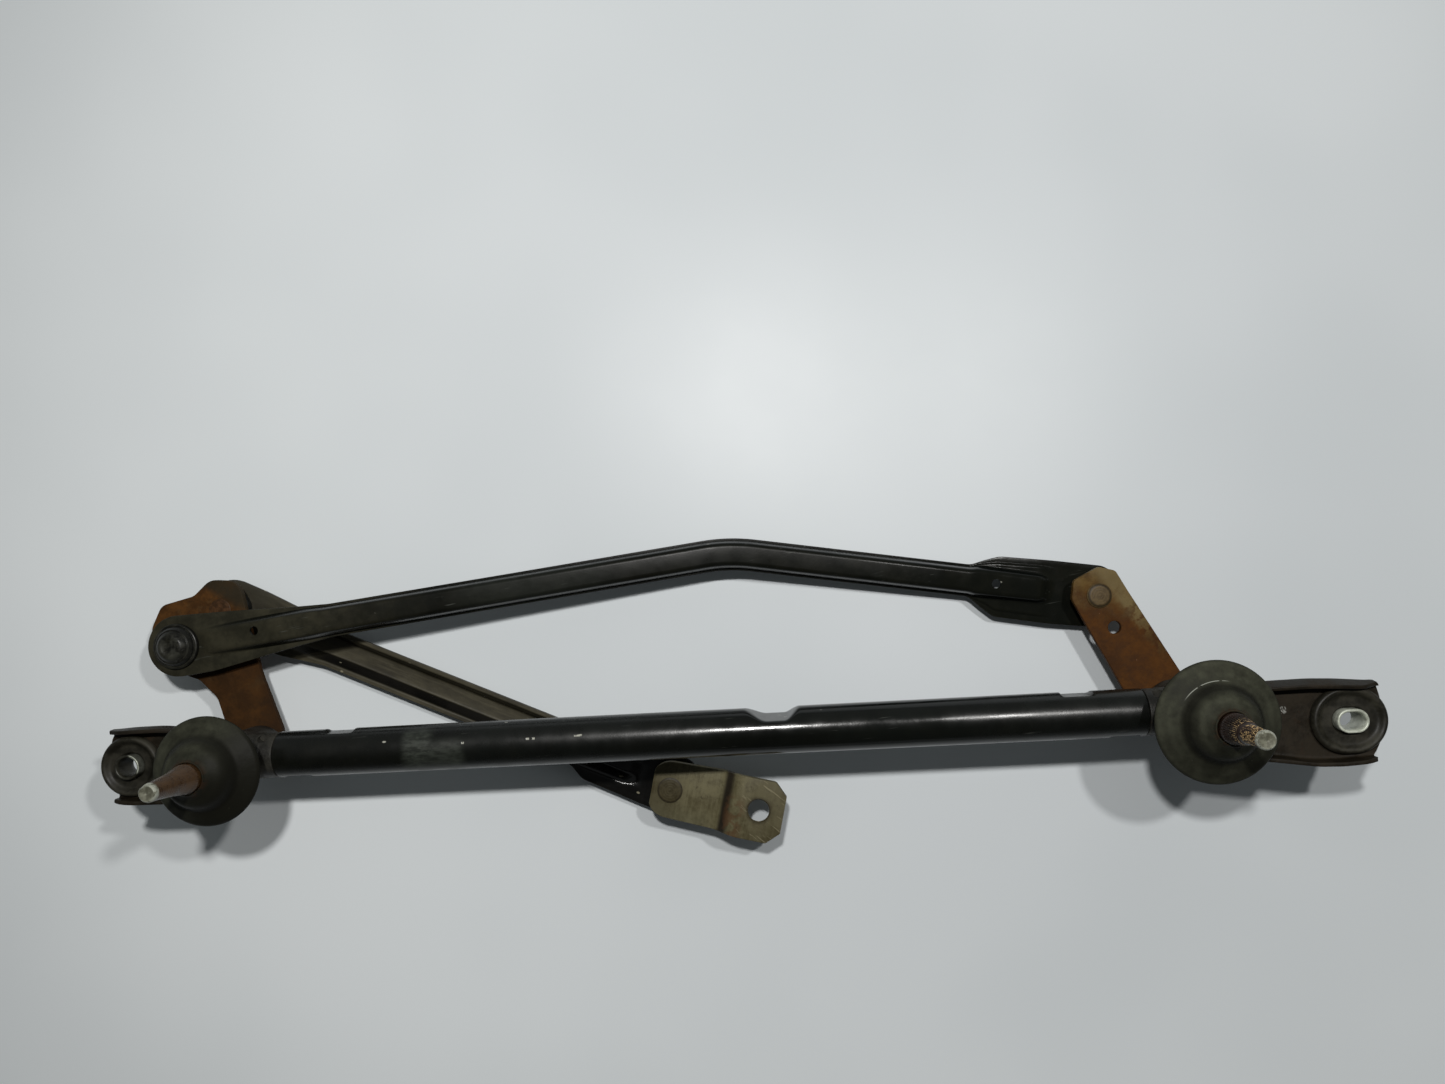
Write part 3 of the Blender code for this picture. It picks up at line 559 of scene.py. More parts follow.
    def radius(self, x=0.0, y=0.0):
        """Distance from an upright axis."""
        across = self.math("SUBTRACT", self.x, x)
        up = self.math("SUBTRACT", self.y, y)
        return self.math("SQRT", self.math("ADD", self.both(across, across), self.both(up, up)))

    def ring(self, radius, middle, near, far):
        """1 where a radius is within near of a middle one, fading to 0 at far from it."""
        away = self.math("ABSOLUTE", self.math("SUBTRACT", radius, middle))
        return self.less(self.ramp(away, near, far))

    def mix(self, share, first, second):
        step = self.node("ShaderNodeMix", data_type="RGBA")
        self.feed(step.inputs[0], share)
        self.feed(step.inputs[6], first)
        self.feed(step.inputs[7], second)
        return step.outputs[2]

    def tint(self, colour, mask, most, other):
        """A colour mixed with another one where a mask is up, by most at the most."""
        return self.mix(self.scale(mask, 0.0, most), colour, other)

    def edges(self, radius):
        """1 on the piece's edges, within a radius of them."""
        bevel = self.node("ShaderNodeBevel", samples=4)
        bevel.inputs["Radius"].default_value = radius * MM
        true = self.node("ShaderNodeNewGeometry")
        turn = self.node("ShaderNodeVectorMath", operation="DOT_PRODUCT")
        self.feed(turn.inputs[0], bevel.outputs["Normal"])
        self.feed(turn.inputs[1], true.outputs["Normal"])
        return self.less(self.ramp(turn.outputs["Value"], 0.80, 0.99))

    def bump(self, height, depth):
        """Raise the surface by a height of 0 to 1 times depth, on top of any bump there already."""
        step = self.node("ShaderNodeBump")
        step.inputs["Distance"].default_value = depth * MM
        self.feed(step.inputs["Height"], height)
        if self.normal is not None:
            self.feed(step.inputs["Normal"], self.normal)
        self.normal = step.outputs["Normal"]

    def grain(self, size, depth, **settings):
        """Raise the surface by noise."""
        self.bump(self.noise(size, **settings), depth)

    def done(self, colour, roughness):
        self.feed(self.shader.inputs["Base Color"], colour)
        self.feed(self.shader.inputs["Roughness"], roughness)
        if self.normal is not None:
            self.feed(self.shader.inputs["Normal"], self.normal)
        return self.material


def gloss_black(name, specular, left_dust, right_dust, glossy, scuffs=(), nicks=(), scratch_turn=4.0):
    """Black dip paint: dusty by an amount that changes along the piece, scratched and chipped.

    glossy is where along X it has kept its full gloss, scuffs are boxes of rubbed paint
    (low, high, softness, amount), and nicks are (x, y, length) of bare metal.
    """
    f = Finish(name, specular=specular)
    colour = f.mix(f.cloud(38, 0.4, 0.62), (0.0017, 0.0022, 0.0018), (0.0032, 0.0040, 0.0034))
    upward = f.ramp(f.facing[2], 0.35, 0.95)
    cloud = f.cloud(17, 0.38, 0.66, detail=6, rough=0.7)
    share = f.scale(f.ramp(f.x, 5.0, 110.0), left_dust, right_dust)
    settled = f.both(upward, f.scale(cloud, 0.45, 1.0), share)
    colour = f.mix(settled, colour, (0.036, 0.033, 0.020))
    worn = None
    for low, high, soft, amount in scuffs:
        brushed = f.cloud(2.2, 0.40, 0.62, detail=6, rough=0.75, stretch=(2.4, 0.8, 1.0))
        patch = f.both(f.box(low, high, soft), f.scale(brushed, 0.15, amount))
        worn = patch if worn is None else f.either(worn, patch)
    if worn is not None:
        colour = f.mix(worn, colour, (0.070, 0.080, 0.064))
    scratches = f.both(
        f.cloud(1.1, 0.665, 0.71, detail=2, stretch=(26, 1, 1), turn=scratch_turn, seed=2),
        f.cloud(30, 0.50, 0.62, seed=5),
    )
    colour = f.tint(colour, scratches, 0.45, (0.080, 0.085, 0.074))
    chips = f.both(
        f.flecks(7.5, 0.10, seed=3, stretch=(1.8, 1, 1)),
        f.cloud(24, 0.55, 0.64, seed=9),
    )
    rim = f.both(f.edges(0.5), f.cloud(6, 0.52, 0.66, detail=5, seed=1))
    bare = f.either(chips, f.scale(rim, 0.0, 0.05))
    grain = f.cloud(0.9, 0.34, 0.44, detail=3, seed=6)
    for x, y, length in nicks:
        nick = f.box((x - length / 2, y - 0.45, TUBE_Z), (x + length / 2, y + 0.45, None), 0.15)
        bare = f.either(bare, f.both(nick, grain))
    colour = f.mix(bare, colour, (0.36, 0.36, 0.31))
    f.grain(0.9, 0.02, detail=3)
    f.grain(14, 0.10, detail=2)
    f.bump(f.less(bare), 0.08)
    start, end = glossy
    kept = f.both(f.ramp(f.x, start - 50, start + 10), f.less(f.ramp(f.x, end - 10, end + 60)))
    rough = f.scale(f.cloud(9, 0.35, 0.7, detail=5), 0.11, 0.19)
    rough = f.math("MULTIPLY_ADD", f.less(kept), 0.13, rough)
    rough = f.math("MULTIPLY_ADD", settled, 0.45, rough)
    if worn is not None:
        rough = f.math("MULTIPLY_ADD", worn, 0.45, rough)
    rough = f.math("MULTIPLY_ADD", scratches, 0.12, rough, clamp=True)
    return f.done(colour, rough)


# scratched sets how strong the painted highlight arc is.
def old_rubber(name, place, groove_r, bright, shade, scratched):
    """Weathered rubber: a green-grey bloom in faint rings, painted lighter on one side and darker on
    the other as painted light and shade, painted shade in its crease, and a painted highlight arc.
    """
    f = Finish(name, specular=0.06, place=place)
    radius = f.radius()
    clouds = f.cloud(12, 0.34, 0.68, detail=6, rough=0.66, seed=place[0])
    wander = f.math("MULTIPLY_ADD", f.noise(11, seed=4), 7.0, f.math("MULTIPLY", radius, 1.35))
    rings = f.scale(f.ramp(f.math("SINE", wander), -1.0, 1.0), 0.78, 1.0)
    # Painted light and shade: the bloom is painted lighter towards the bright direction and darker away
    # from it, down to the shade share, and kept to faces turned up.
    side = f.scale(f.beyond(bright, 0.0, 14.0), shade, 1.0)
    bloom_and_painted_light = f.both(f.scale(clouds, 0.30, 1.0), rings, side, f.ramp(f.facing[2], 0.1, 0.9))
    colour = f.mix(bloom_and_painted_light, (0.0082, 0.0080, 0.0058), (0.050, 0.052, 0.036))
    # Painted shade: the crease round the boss's foot is painted darker.
    groove = f.ring(radius, groove_r, 0.2, 1.8)
    colour = f.tint(colour, groove, 0.55, (0.0058, 0.0055, 0.0042))
    collar = f.less(f.ramp(radius, 7.0, 10.0))
    rusty = f.both(collar, f.cloud(3.0, 0.42, 0.58, detail=6, seed=6))
    colour = f.tint(colour, rusty, 0.6, (0.030, 0.014, 0.007))
    specks = f.both(f.flecks(3.6, 0.10, seed=1), f.cloud(12, 0.54, 0.64, seed=8))
    colour = f.tint(colour, specks, 0.5, (0.090, 0.090, 0.068))
    # Painted highlight: a thin pale arc where the lamps glint on the rim of the step outside the
    # crease, on its rear side; scratched sets how strong it is.
    highlight_arc_ring = f.ring(radius, groove_r + 1.6, 0.08, 0.22)
    painted_highlight_arc = f.both(highlight_arc_ring, f.beyond((-0.35, 0.94), 16.5, 1.2), f.cloud(4, 0.40, 0.46, seed=5))
    colour = f.tint(colour, painted_highlight_arc, scratched, (0.30, 0.31, 0.27))
    f.grain(0.7, 0.04, detail=4, rough=0.7)
    f.grain(6.0, 0.20, detail=3)
    return f.done(colour, f.scale(bloom_and_painted_light, 0.46, 0.74))


def grey_rubber(name, eye):
    """The grommet's rubber: dark brown-black, dusty on its flat face, paler along its rolled lip."""
    f = Finish(name, specular=0.28, place=eye)
    clouds = f.cloud(8, 0.38, 0.64, detail=6, rough=0.7)
    colour = f.mix(clouds, (0.0085, 0.0078, 0.0050), (0.023, 0.021, 0.0142))
    lip = f.ring(f.radius(), 13.6, 0.2, 1.4)
    colour = f.mix(f.both(lip, f.scale(clouds, 0.05, 0.40)), colour, (0.050, 0.047, 0.034))
    f.grain(0.6, 0.04, detail=4, rough=0.7)
    f.grain(5.0, 0.12)
    return f.done(colour, f.scale(clouds, 0.44, 0.66))


def plain_rubber(name):
    """The dust rings' rubber, oily and smooth."""
    f = Finish(name, specular=0.4)
    clouds = f.cloud(5, 0.4, 0.62, detail=5)
    colour = f.mix(clouds, (0.010, 0.010, 0.009), (0.026, 0.025, 0.021))
    f.grain(0.5, 0.03, detail=4)
    return f.done(colour, f.scale(clouds, 0.35, 0.6))


def cast_metal(name):
    """Die-cast housing under thin black paint, sandy to the touch and grey where the paint has gone."""
    f = Finish(name, specular=0.35)
    clouds = f.cloud(10, 0.38, 0.65, detail=6, rough=0.7)
    colour = f.mix(clouds, (0.0085, 0.0080, 0.0062), (0.027, 0.025, 0.0190))
    worn = f.both(f.edges(0.7), f.cloud(4, 0.48, 0.62, detail=5, seed=3))
    colour = f.tint(colour, worn, 0.4, (0.105, 0.100, 0.085))
    stains = f.cloud(6, 0.60, 0.70, detail=6, seed=7)
    colour = f.tint(colour, stains, 0.4, (0.040, 0.021, 0.009))
    f.grain(0.55, 0.12, detail=5, rough=0.75)
    f.grain(4.0, 0.18)
    return f.done(colour, f.scale(clouds, 0.45, 0.7))


def ear_paint(name, pivot, mark=None):
    """Old rusty paint on the stamped ears, with the rear flange's top painted paler as painted light,
    and scraped at a mark.
    """
    f = Finish(name, specular=0.20, place=pivot)
    clouds = f.cloud(15, 0.36, 0.64, detail=7, rough=0.7)
    colour = f.mix(clouds, (0.0072, 0.0055, 0.0030), (0.0160, 0.0118, 0.0064))
    upward = f.ramp(f.facing[2], 0.4, 0.95)
    dust = f.both(upward, f.cloud(5, 0.44, 0.64, detail=6, rough=0.75, seed=2))
    colour = f.tint(colour, dust, 0.30, (0.028, 0.022, 0.014))
    rust = f.both(f.cloud(7, 0.56, 0.66, detail=7, rough=0.75, seed=6), upward)
    colour = f.tint(colour, rust, 0.5, (0.024, 0.0130, 0.0062))
    # Painted light: the top of the rear flange, which faces the lamps, is painted paler.
    crown = f.both(f.ramp(f.z, WEB_TOP + 4.0, WEB_TOP + 7.0), f.ramp(f.y, 6.0, 9.0))
    crown = f.both(crown, f.cloud(10, 0.40, 0.62, detail=6, rough=0.7, seed=9, stretch=(2.5, 1, 1)))
    colour = f.tint(colour, crown, 0.12, (0.046, 0.038, 0.033))
    rim = f.both(f.edges(0.6), f.cloud(3.4, 0.46, 0.64, detail=5, seed=4))
    colour = f.tint(colour, rim, 0.4, (0.075, 0.062, 0.048))
    specks = f.both(f.flecks(4.2, 0.09, seed=5), f.cloud(14, 0.56, 0.64, seed=3))
    colour = f.tint(colour, specks, 0.6, (0.11, 0.10, 0.08))
    if mark is not None:
        scraped = f.less(f.ramp(f.radius(*mark), 1.2, 2.1))
        streaks = f.cloud(0.9, 0.46, 0.54, detail=3, stretch=(0.5, 1.6, 1), turn=20, seed=1)
        scraped = f.both(scraped, streaks)
        colour = f.tint(colour, scraped, 0.9, (0.24, 0.24, 0.22))
    f.grain(0.8, 0.08, detail=5, rough=0.75)
    f.grain(7.0, 0.25, detail=3)
    rough = f.scale(clouds, 0.42, 0.62)
    return f.done(colour, f.math("MULTIPLY_ADD", dust, 0.15, rough, clamp=True))


def rust_colours(f, size, seed=0.0):
    """Rust from black-brown to orange, and how much of it is the light kind."""
    light = f.cloud(size, 0.38, 0.64, detail=8, rough=0.72, seed=seed)
    deep = f.cloud(size * 0.35, 0.40, 0.66, detail=6, rough=0.7, seed=seed + 2)
    colour = f.mix(light, (0.034, 0.0152, 0.0042), (0.098, 0.041, 0.0100))
    colour = f.tint(colour, deep, 0.45, (0.056, 0.0225, 0.0055))
    return colour, light


def rusty_lever(name):
    """The left lever: bare steel rusted all over, orange at its outer end and darker along its neck."""
    f = Finish(name, specular=0.10)
    colour, light = rust_colours(f, 13)
    neck = f.less(f.ramp(f.y, 46.0, 72.0))
    colour = f.tint(colour, neck, 0.55, (0.0230, 0.0112, 0.0042))
    right_side = f.both(neck, f.beyond((0.97, 0.22), 7.5, 6.0))
    colour = f.tint(colour, right_side, 0.55, (0.0105, 0.0060, 0.0034))
    tan = f.both(f.cloud(7, 0.52, 0.64, detail=6, seed=8), f.ramp(f.y, 20.0, 50.0))
    colour = f.tint(colour, tan, 0.4, (0.078, 0.046, 0.018))
    grime = f.beyond((0.55, 0.83), 55.5, 3.0)
    colour = f.tint(colour, grime, 0.8, (0.0215, 0.0190, 0.0112))
    rim = f.both(f.edges(0.5), f.cloud(9, 0.50, 0.60, detail=4, seed=5))
    colour = f.tint(colour, rim, 0.35, (0.105, 0.066, 0.034))
    f.grain(0.7, 0.14, detail=6, rough=0.8)
    f.grain(3.5, 0.20, detail=5)
    return f.done(colour, f.scale(light, 0.62, 0.86))


def gold_to_rust_lever(name):
    """The right lever: gold-brown plating at its outer end, rusted from there to its pivot."""
    f = Finish(name, specular=0.10, place=RIGHT_PIVOT)
    rust, light = rust_colours(f, 11, seed=3)
    rust = f.mix(0.45, rust, (0.040, 0.0125, 0.0020))
    clouds = f.cloud(9, 0.38, 0.64, detail=6, rough=0.7, seed=5)
    plating = f.mix(clouds, (0.056, 0.029, 0.0060), (0.096, 0.057, 0.0150))
    bleached = f.both(f.beyond((0.84, 0.55), 9.5, 3.5), f.beyond((-0.5, 0.87), 40.0, 9.0))
    plating = f.tint(plating, bleached, 0.65, (0.150, 0.115, 0.052))
    ragged = f.math("MULTIPLY_ADD", f.noise(6, detail=7, rough=0.7, seed=1), 34.0, f.y)
    from_end = f.math("MULTIPLY_ADD", f.x, 0.18, ragged)
    plated = f.ramp(from_end, 54.0, 74.0)
    edge_band = f.both(f.beyond((0.84, 0.55), 10.5, 1.8), f.ramp(f.y, 18.0, 44.0))
    edge_band = f.both(edge_band, f.cloud(5, 0.42, 0.54, detail=6, seed=9))
    plated = f.either(plated, edge_band)
    colour = f.mix(plated, rust, plating)
    chips = f.both(f.edges(0.7), f.cloud(3.0, 0.48, 0.62, detail=5, seed=2), plated)
    colour = f.tint(colour, chips, 0.7, (0.27, 0.225, 0.125))
    specks = f.both(f.flecks(6.0, 0.06, seed=4), f.less(plated), f.cloud(16, 0.50, 0.60, seed=6))
    colour = f.mix(specks, colour, (0.26, 0.125, 0.065))
    f.grain(0.7, 0.11, detail=6, rough=0.8)
    f.grain(3.5, 0.17, detail=5)
    rough = f.scale(light, 0.58, 0.82)
    return f.done(colour, f.math("MULTIPLY_ADD", plated, -0.20, rough, clamp=True))


def olive_plating(name):
    """The crank's olive zinc: streaked, stained, scratched at its end, rusty past its bend, and with
    painted shade as a dark band across the bend and a dark ring round its hole.
    """
    f = Finish(name, metallic=0.10, specular=0.30, place=CRANK_BALL)
    along = (math.cos(CRANK_ANGLE), math.sin(CRANK_ANGLE))
    across = (-along[1], along[0])
    turn = math.degrees(CRANK_ANGLE)
    clouds = f.cloud(8, 0.36, 0.66, detail=7, rough=0.7)
    colour = f.mix(clouds, (0.062, 0.052, 0.0235), (0.118, 0.104, 0.0540))
    streaks = f.cloud(1.5, 0.42, 0.66, detail=4, stretch=(1, 9, 1), turn=turn, seed=2)
    colour = f.tint(colour, streaks, 0.45, (0.132, 0.119, 0.064))
    root = f.less(f.beyond(along, 3.0, 9.0))
    colour = f.tint(colour, root, 0.60, (0.036, 0.029, 0.0125))
    foot = f.both(f.less(f.beyond(across, -9.0, 6.0)), f.less(f.beyond(along, 22.0, 6.0)))
    colour = f.tint(colour, foot, 0.4, (0.118, 0.112, 0.068))
    # Painted shade: a dark band across the bend.
    bend = f.both(f.beyond(along, 26.8, 1.2), f.less(f.beyond(along, 31.0, 1.6)))
    colour = f.tint(colour, bend, 1.0, (0.0135, 0.0098, 0.0046))
    after = f.both(f.beyond(along, 29.0, 1.5), f.less(f.beyond(along, 38.0, 3.0)))
    red = f.both(after, f.cloud(5, 0.42, 0.58, detail=6, seed=6), f.less(f.beyond(across, 3.0, 4.0)))
    colour = f.tint(colour, red, 0.7, (0.078, 0.038, 0.0150))
    grime = f.cloud(4.5, 0.58, 0.68, detail=6, rough=0.75, seed=4)
    colour = f.tint(colour, grime, 0.6, (0.028, 0.022, 0.0100))
    tail = f.beyond(along, 40.0, 8.0)
    colour = f.tint(colour, tail, 0.40, (0.046, 0.038, 0.0175))
    # Painted shade: a dark ring round the tapered hole.
    hole = f.less(f.ramp(f.radius(CRANK_REACH * along[0], CRANK_REACH * along[1]), 5.4, 7.6))
    colour = f.tint(colour, hole, 0.7, (0.026, 0.020, 0.0092))
    scratches = f.cloud(0.9, 0.64, 0.69, detail=2, stretch=(1, 14, 1), turn=turn + 62, seed=7)
    scratches = f.both(scratches, f.beyond(along, 36.0, 4.0))
    colour = f.tint(colour, scratches, 0.6, (0.215, 0.190, 0.115))
    rim = f.both(f.edges(0.5), f.cloud(3.0, 0.45, 0.60, detail=5, seed=8))
    colour = f.tint(colour, rim, 0.5, (0.185, 0.160, 0.092))
    f.grain(0.6, 0.06, detail=5, rough=0.8)
    f.bump(scratches, 0.05)
    f.grain(7.0, 0.16, detail=3)
    return f.done(colour, f.scale(clouds, 0.44, 0.66))


def rivet_plating(name, place, dark, light, ring_r, ringed):
    """A rivet head and its ball, in the plate's own plating, darker at the head's foot."""
    f = Finish(name, metallic=0.12, specular=0.28, place=place)
    clouds = f.cloud(3.5, 0.36, 0.66, detail=6, rough=0.7)
    colour = f.mix(clouds, dark, light)
    ring = f.ring(f.radius(), ring_r, 0.2, 0.8)
    colour = f.tint(colour, ring, ringed, (0.0125, 0.0092, 0.0046))
    rings = f.ramp(f.math("SINE", f.math("MULTIPLY", f.radius(), 5.0)), -1.0, 1.0)
    f.bump(rings, 0.02)
    f.grain(0.5, 0.05, detail=5, rough=0.8)
    return f.done(colour, f.scale(clouds, 0.42, 0.62))


def rusty_shaft(name, pivot, dark, light, rust_top, gold_from, worn):
    """Shaft steel: brown rust low down, worn gold crests from a height on that are painted bright as
    glints too, and a pale clean tip with a painted highlight round its rim and painted shade in its
    pit.
    """
    f = Finish(name, metallic=0.15, specular=0.45, place=pivot)
    patches = f.cloud(4.5, 0.36, 0.66, detail=7, rough=0.66, seed=2)
    colour = f.mix(patches, dark, light)
    radius = f.radius()
    height = f.z
    slope = (SHAFT_R - 5.0) / (CONE_TOP - CONE_BOTTOM)
    up_cone = f.math("SUBTRACT", height, CONE_BOTTOM)
    crest_r = f.math("SUBTRACT", SHAFT_R - 0.16, f.math("MULTIPLY", up_cone, slope))
    on_cone = f.less(f.ramp(height, CONE_TOP, CONE_TOP + 1))
    crests = f.both(on_cone, f.ramp(f.math("SUBTRACT", radius, crest_r), 0.0, 0.10))
    on_thread = f.ramp(height, THREAD_BOTTOM, THREAD_BOTTOM + 1)
    thread = f.both(on_thread, f.ramp(radius, THREAD_R - 0.28, THREAD_R - 0.08))
    start = f.math("MULTIPLY_ADD", f.noise(3.0, detail=4, seed=8), 6.0, height)
    golden = f.ramp(start, gold_from + 3.0, gold_from + 8.5)
    patchy = f.cloud(0.8, 0.49, 0.55, detail=4, stretch=(1.0, 1.0, 1.8), twist=0.8, seed=5)
    # Worn bare crests and painted glints: from a height on, the crests of the teeth and of the thread
    # are painted bright gold, by the worn share.
    worn_crests_and_painted_glints = f.both(f.either(crests, thread), patchy, golden)
    colour = f.tint(colour, worn_crests_and_painted_glints, worn, (0.56, 0.38, 0.175))
    ragged = f.math("MULTIPLY_ADD", f.noise(2.0, detail=4, seed=7), 1.6, height)
    clean = f.ramp(ragged, rust_top, rust_top + 0.8)
    clouds = f.cloud(1.8, 0.4, 0.62, detail=5, seed=3)
    pale = f.mix(clouds, (0.090, 0.088, 0.062), (0.165, 0.165, 0.122))
    # Painted highlight: a bright, patchy ring round the chamfered rim of the end.
    painted_highlight_end_rim = f.both(f.ramp(radius, THREAD_R - 1.1, THREAD_R - 0.6), f.cloud(2.4, 0.40, 0.52, seed=9))
    pale = f.tint(pale, painted_highlight_end_rim, 0.8, (0.36, 0.37, 0.31))
    colour = f.mix(clean, colour, pale)
    # Painted shade: the small pit in the middle of the end is painted darker.
    facing_up = f.ramp(f.facing[2], 0.9, 0.99)
    painted_pit_shade = f.both(facing_up, clean, f.less(f.ramp(radius, 0.3, 0.9)))
    colour = f.tint(colour, painted_pit_shade, 0.6, (0.045, 0.044, 0.034))
    f.grain(0.45, 0.07, detail=6, rough=0.8)
    f.grain(2.4, 0.08, detail=4)
    rough = f.scale(patches, 0.24, 0.42)
    return f.done(colour, f.math("MULTIPLY_ADD", clean, 0.14, rough, clamp=True))


def sleeve_zinc(name, eye, tarnish):
    """The grommet sleeve's zinc: pale green-silver with painted shade in its bore, or tarnished black
    but for painted glints in stripes on one side of its rim.
    """
    f = Finish(name, metallic=0.25, specular=0.5, place=eye)
    clouds = f.cloud(3.5, 0.36, 0.64, detail=6, rough=0.7)
    colour = f.mix(clouds, (0.42, 0.445, 0.37), (0.62, 0.65, 0.56))
    stain = f.cloud(2.2, 0.56, 0.68, detail=6, seed=4)
    colour = f.tint(colour, stain, 0.5, (0.085, 0.080, 0.058))
    # Painted shade: lower down, inside the bore, the zinc is painted darker.
    bore = f.less(f.ramp(f.z, WEB_TOP + 1.0, WEB_TOP + 4.0))
    colour = f.tint(colour, bore, 0.45, (0.075, 0.078, 0.066))
    # Painted highlight: glints in stripes on one side of the rim, which rubbed holds and the tarnish
    # leaves pale.
    painted_glint_stripes = f.ramp(f.math("SINE", f.math("MULTIPLY", f.radius(), 9.0)), -0.4, 0.4)
    rubbed = f.both(f.beyond((0.9, 0.42), 3.6, 0.8), f.scale(painted_glint_stripes, 0.2, 1.0))
    black = f.mix(clouds, (0.0150, 0.0145, 0.0100), (0.034, 0.033, 0.024))
    colour = f.tint(colour, f.less(rubbed), tarnish, black)
    f.grain(0.4, 0.04, detail=5)
    f.grain(2.0, 0.10, detail=3)
    return f.done(colour, f.scale(clouds, 0.30, 0.46))


def sintered_bronze(name):
    """The bushes' oily sintered bronze."""
    f = Finish(name, metallic=0.9, specular=0.5)
    clouds = f.cloud(4, 0.38, 0.64, detail=6)
    colour = f.mix(clouds, (0.20, 0.115, 0.048), (0.40, 0.255, 0.120))
    pores = f.flecks(0.7, 0.35, seed=2)
    colour = f.tint(colour, pores, 0.5, (0.045, 0.028, 0.014))
    f.bump(f.less(pores), 0.05)
    return f.done(colour, f.scale(clouds, 0.35, 0.55))


def ring_steel(name):
    """Spring steel of the washers and circlips, blued and a little rusty."""
    f = Finish(name, metallic=0.85, specular=0.5)
    clouds = f.cloud(3, 0.38, 0.64, detail=6, rough=0.7)
    colour = f.mix(clouds, (0.13, 0.125, 0.115), (0.30, 0.29, 0.27))
    rust = f.cloud(2.0, 0.53, 0.64, detail=7, rough=0.75, seed=3)
    colour = f.tint(colour, rust, 0.8, (0.095, 0.040, 0.018))
    f.grain(0.5, 0.05, detail=5)
    return f.done(colour, f.scale(rust, 0.32, 0.7))


def socket_plastic(name, place):
    """Black moulded plastic of the ball sockets: smooth, scratched, and grey with dust on its knob."""
    f = Finish(name, specular=0.20, place=place)
    clouds = f.cloud(6, 0.38, 0.64, detail=6, rough=0.7)
    upward = f.ramp(f.math("ABSOLUTE", f.facing[2]), 0.3, 0.95)
    colour = f.mix(f.both(clouds, upward), (0.0056, 0.0056, 0.0046), (0.0230, 0.0225, 0.0160))
    knob = f.both(f.less(f.ramp(f.radius(), 5.0, 8.5)), f.cloud(5, 0.42, 0.58, detail=4, seed=3))
    colour = f.tint(colour, knob, 0.55, (0.052, 0.053, 0.043))
    scratches = f.cloud(0.7, 0.66, 0.70, detail=2, stretch=(9, 1, 1), turn=30, seed=5)
    colour = f.tint(colour, scratches, 0.4, (0.075, 0.075, 0.066))
    f.grain(0.8, 0.04, detail=4)
    f.bump(scratches, 0.03)
    return f.done(colour, f.scale(clouds, 0.30, 0.55))


def channel_paint(name):
    """The drive link's paint: dusty olive-brown along its channel, glossy black at the crank's end."""
    f = Finish(name, specular=0.36, place=LEFT_DRIVE_BALL)
    span = Vector(CRANK_BALL) - Vector(LEFT_DRIVE_BALL)
    length = span.length
    along = tuple(span.normalized())
    turn = math.degrees(math.atan2(along[1], along[0]))
    clouds = f.cloud(16, 0.36, 0.66, detail=7, rough=0.7, stretch=(2.2, 1, 1), turn=turn)
    dusty = f.mix(clouds, (0.024, 0.0205, 0.0112), (0.056, 0.049, 0.0285))
    streaks = f.cloud(1.6, 0.50, 0.66, detail=5, stretch=(12, 1, 1), turn=turn, seed=3)
    dusty = f.tint(dusty, streaks, 0.4, (0.084, 0.074, 0.046))
    upward = f.ramp(f.facing[2], 0.45, 0.95)
    black = f.mix(f.cloud(20, 0.4, 0.62, seed=4), (0.0032, 0.0031, 0.0028), (0.0068, 0.0064, 0.0056))
    settled = f.both(upward, f.less(f.beyond(along, length - 66.0, 14.0)))
    colour = f.tint(black, settled, 0.92, dusty)
    head = f.less(f.beyond(along, 20.0, 8.0))
    colour = f.tint(colour, head, 0.6, (0.0165, 0.0148, 0.0098))
    rim = f.both(f.edges(0.5), f.cloud(5, 0.46, 0.62, detail=5, seed=6))
    colour = f.tint(colour, rim, 0.3, (0.10, 0.088, 0.058))
    flakes = f.flecks(5.0, 0.13, seed=8, stretch=(1.6, 1, 1), turn=turn)
    flakes = f.both(flakes, f.cloud(26, 0.5, 0.6, seed=7))
    colour = f.tint(colour, flakes, 0.7, (0.26, 0.24, 0.17))
    f.grain(0.8, 0.06, detail=5, rough=0.7)
    f.grain(9.0, 0.2, detail=3)
    rough = f.scale(f.cloud(8, 0.35, 0.65), 0.13, 0.22)
    return f.done(colour, f.math("MULTIPLY_ADD", settled, 0.38, rough, clamp=True))


# ---------------------------------------------------------------- frame pieces

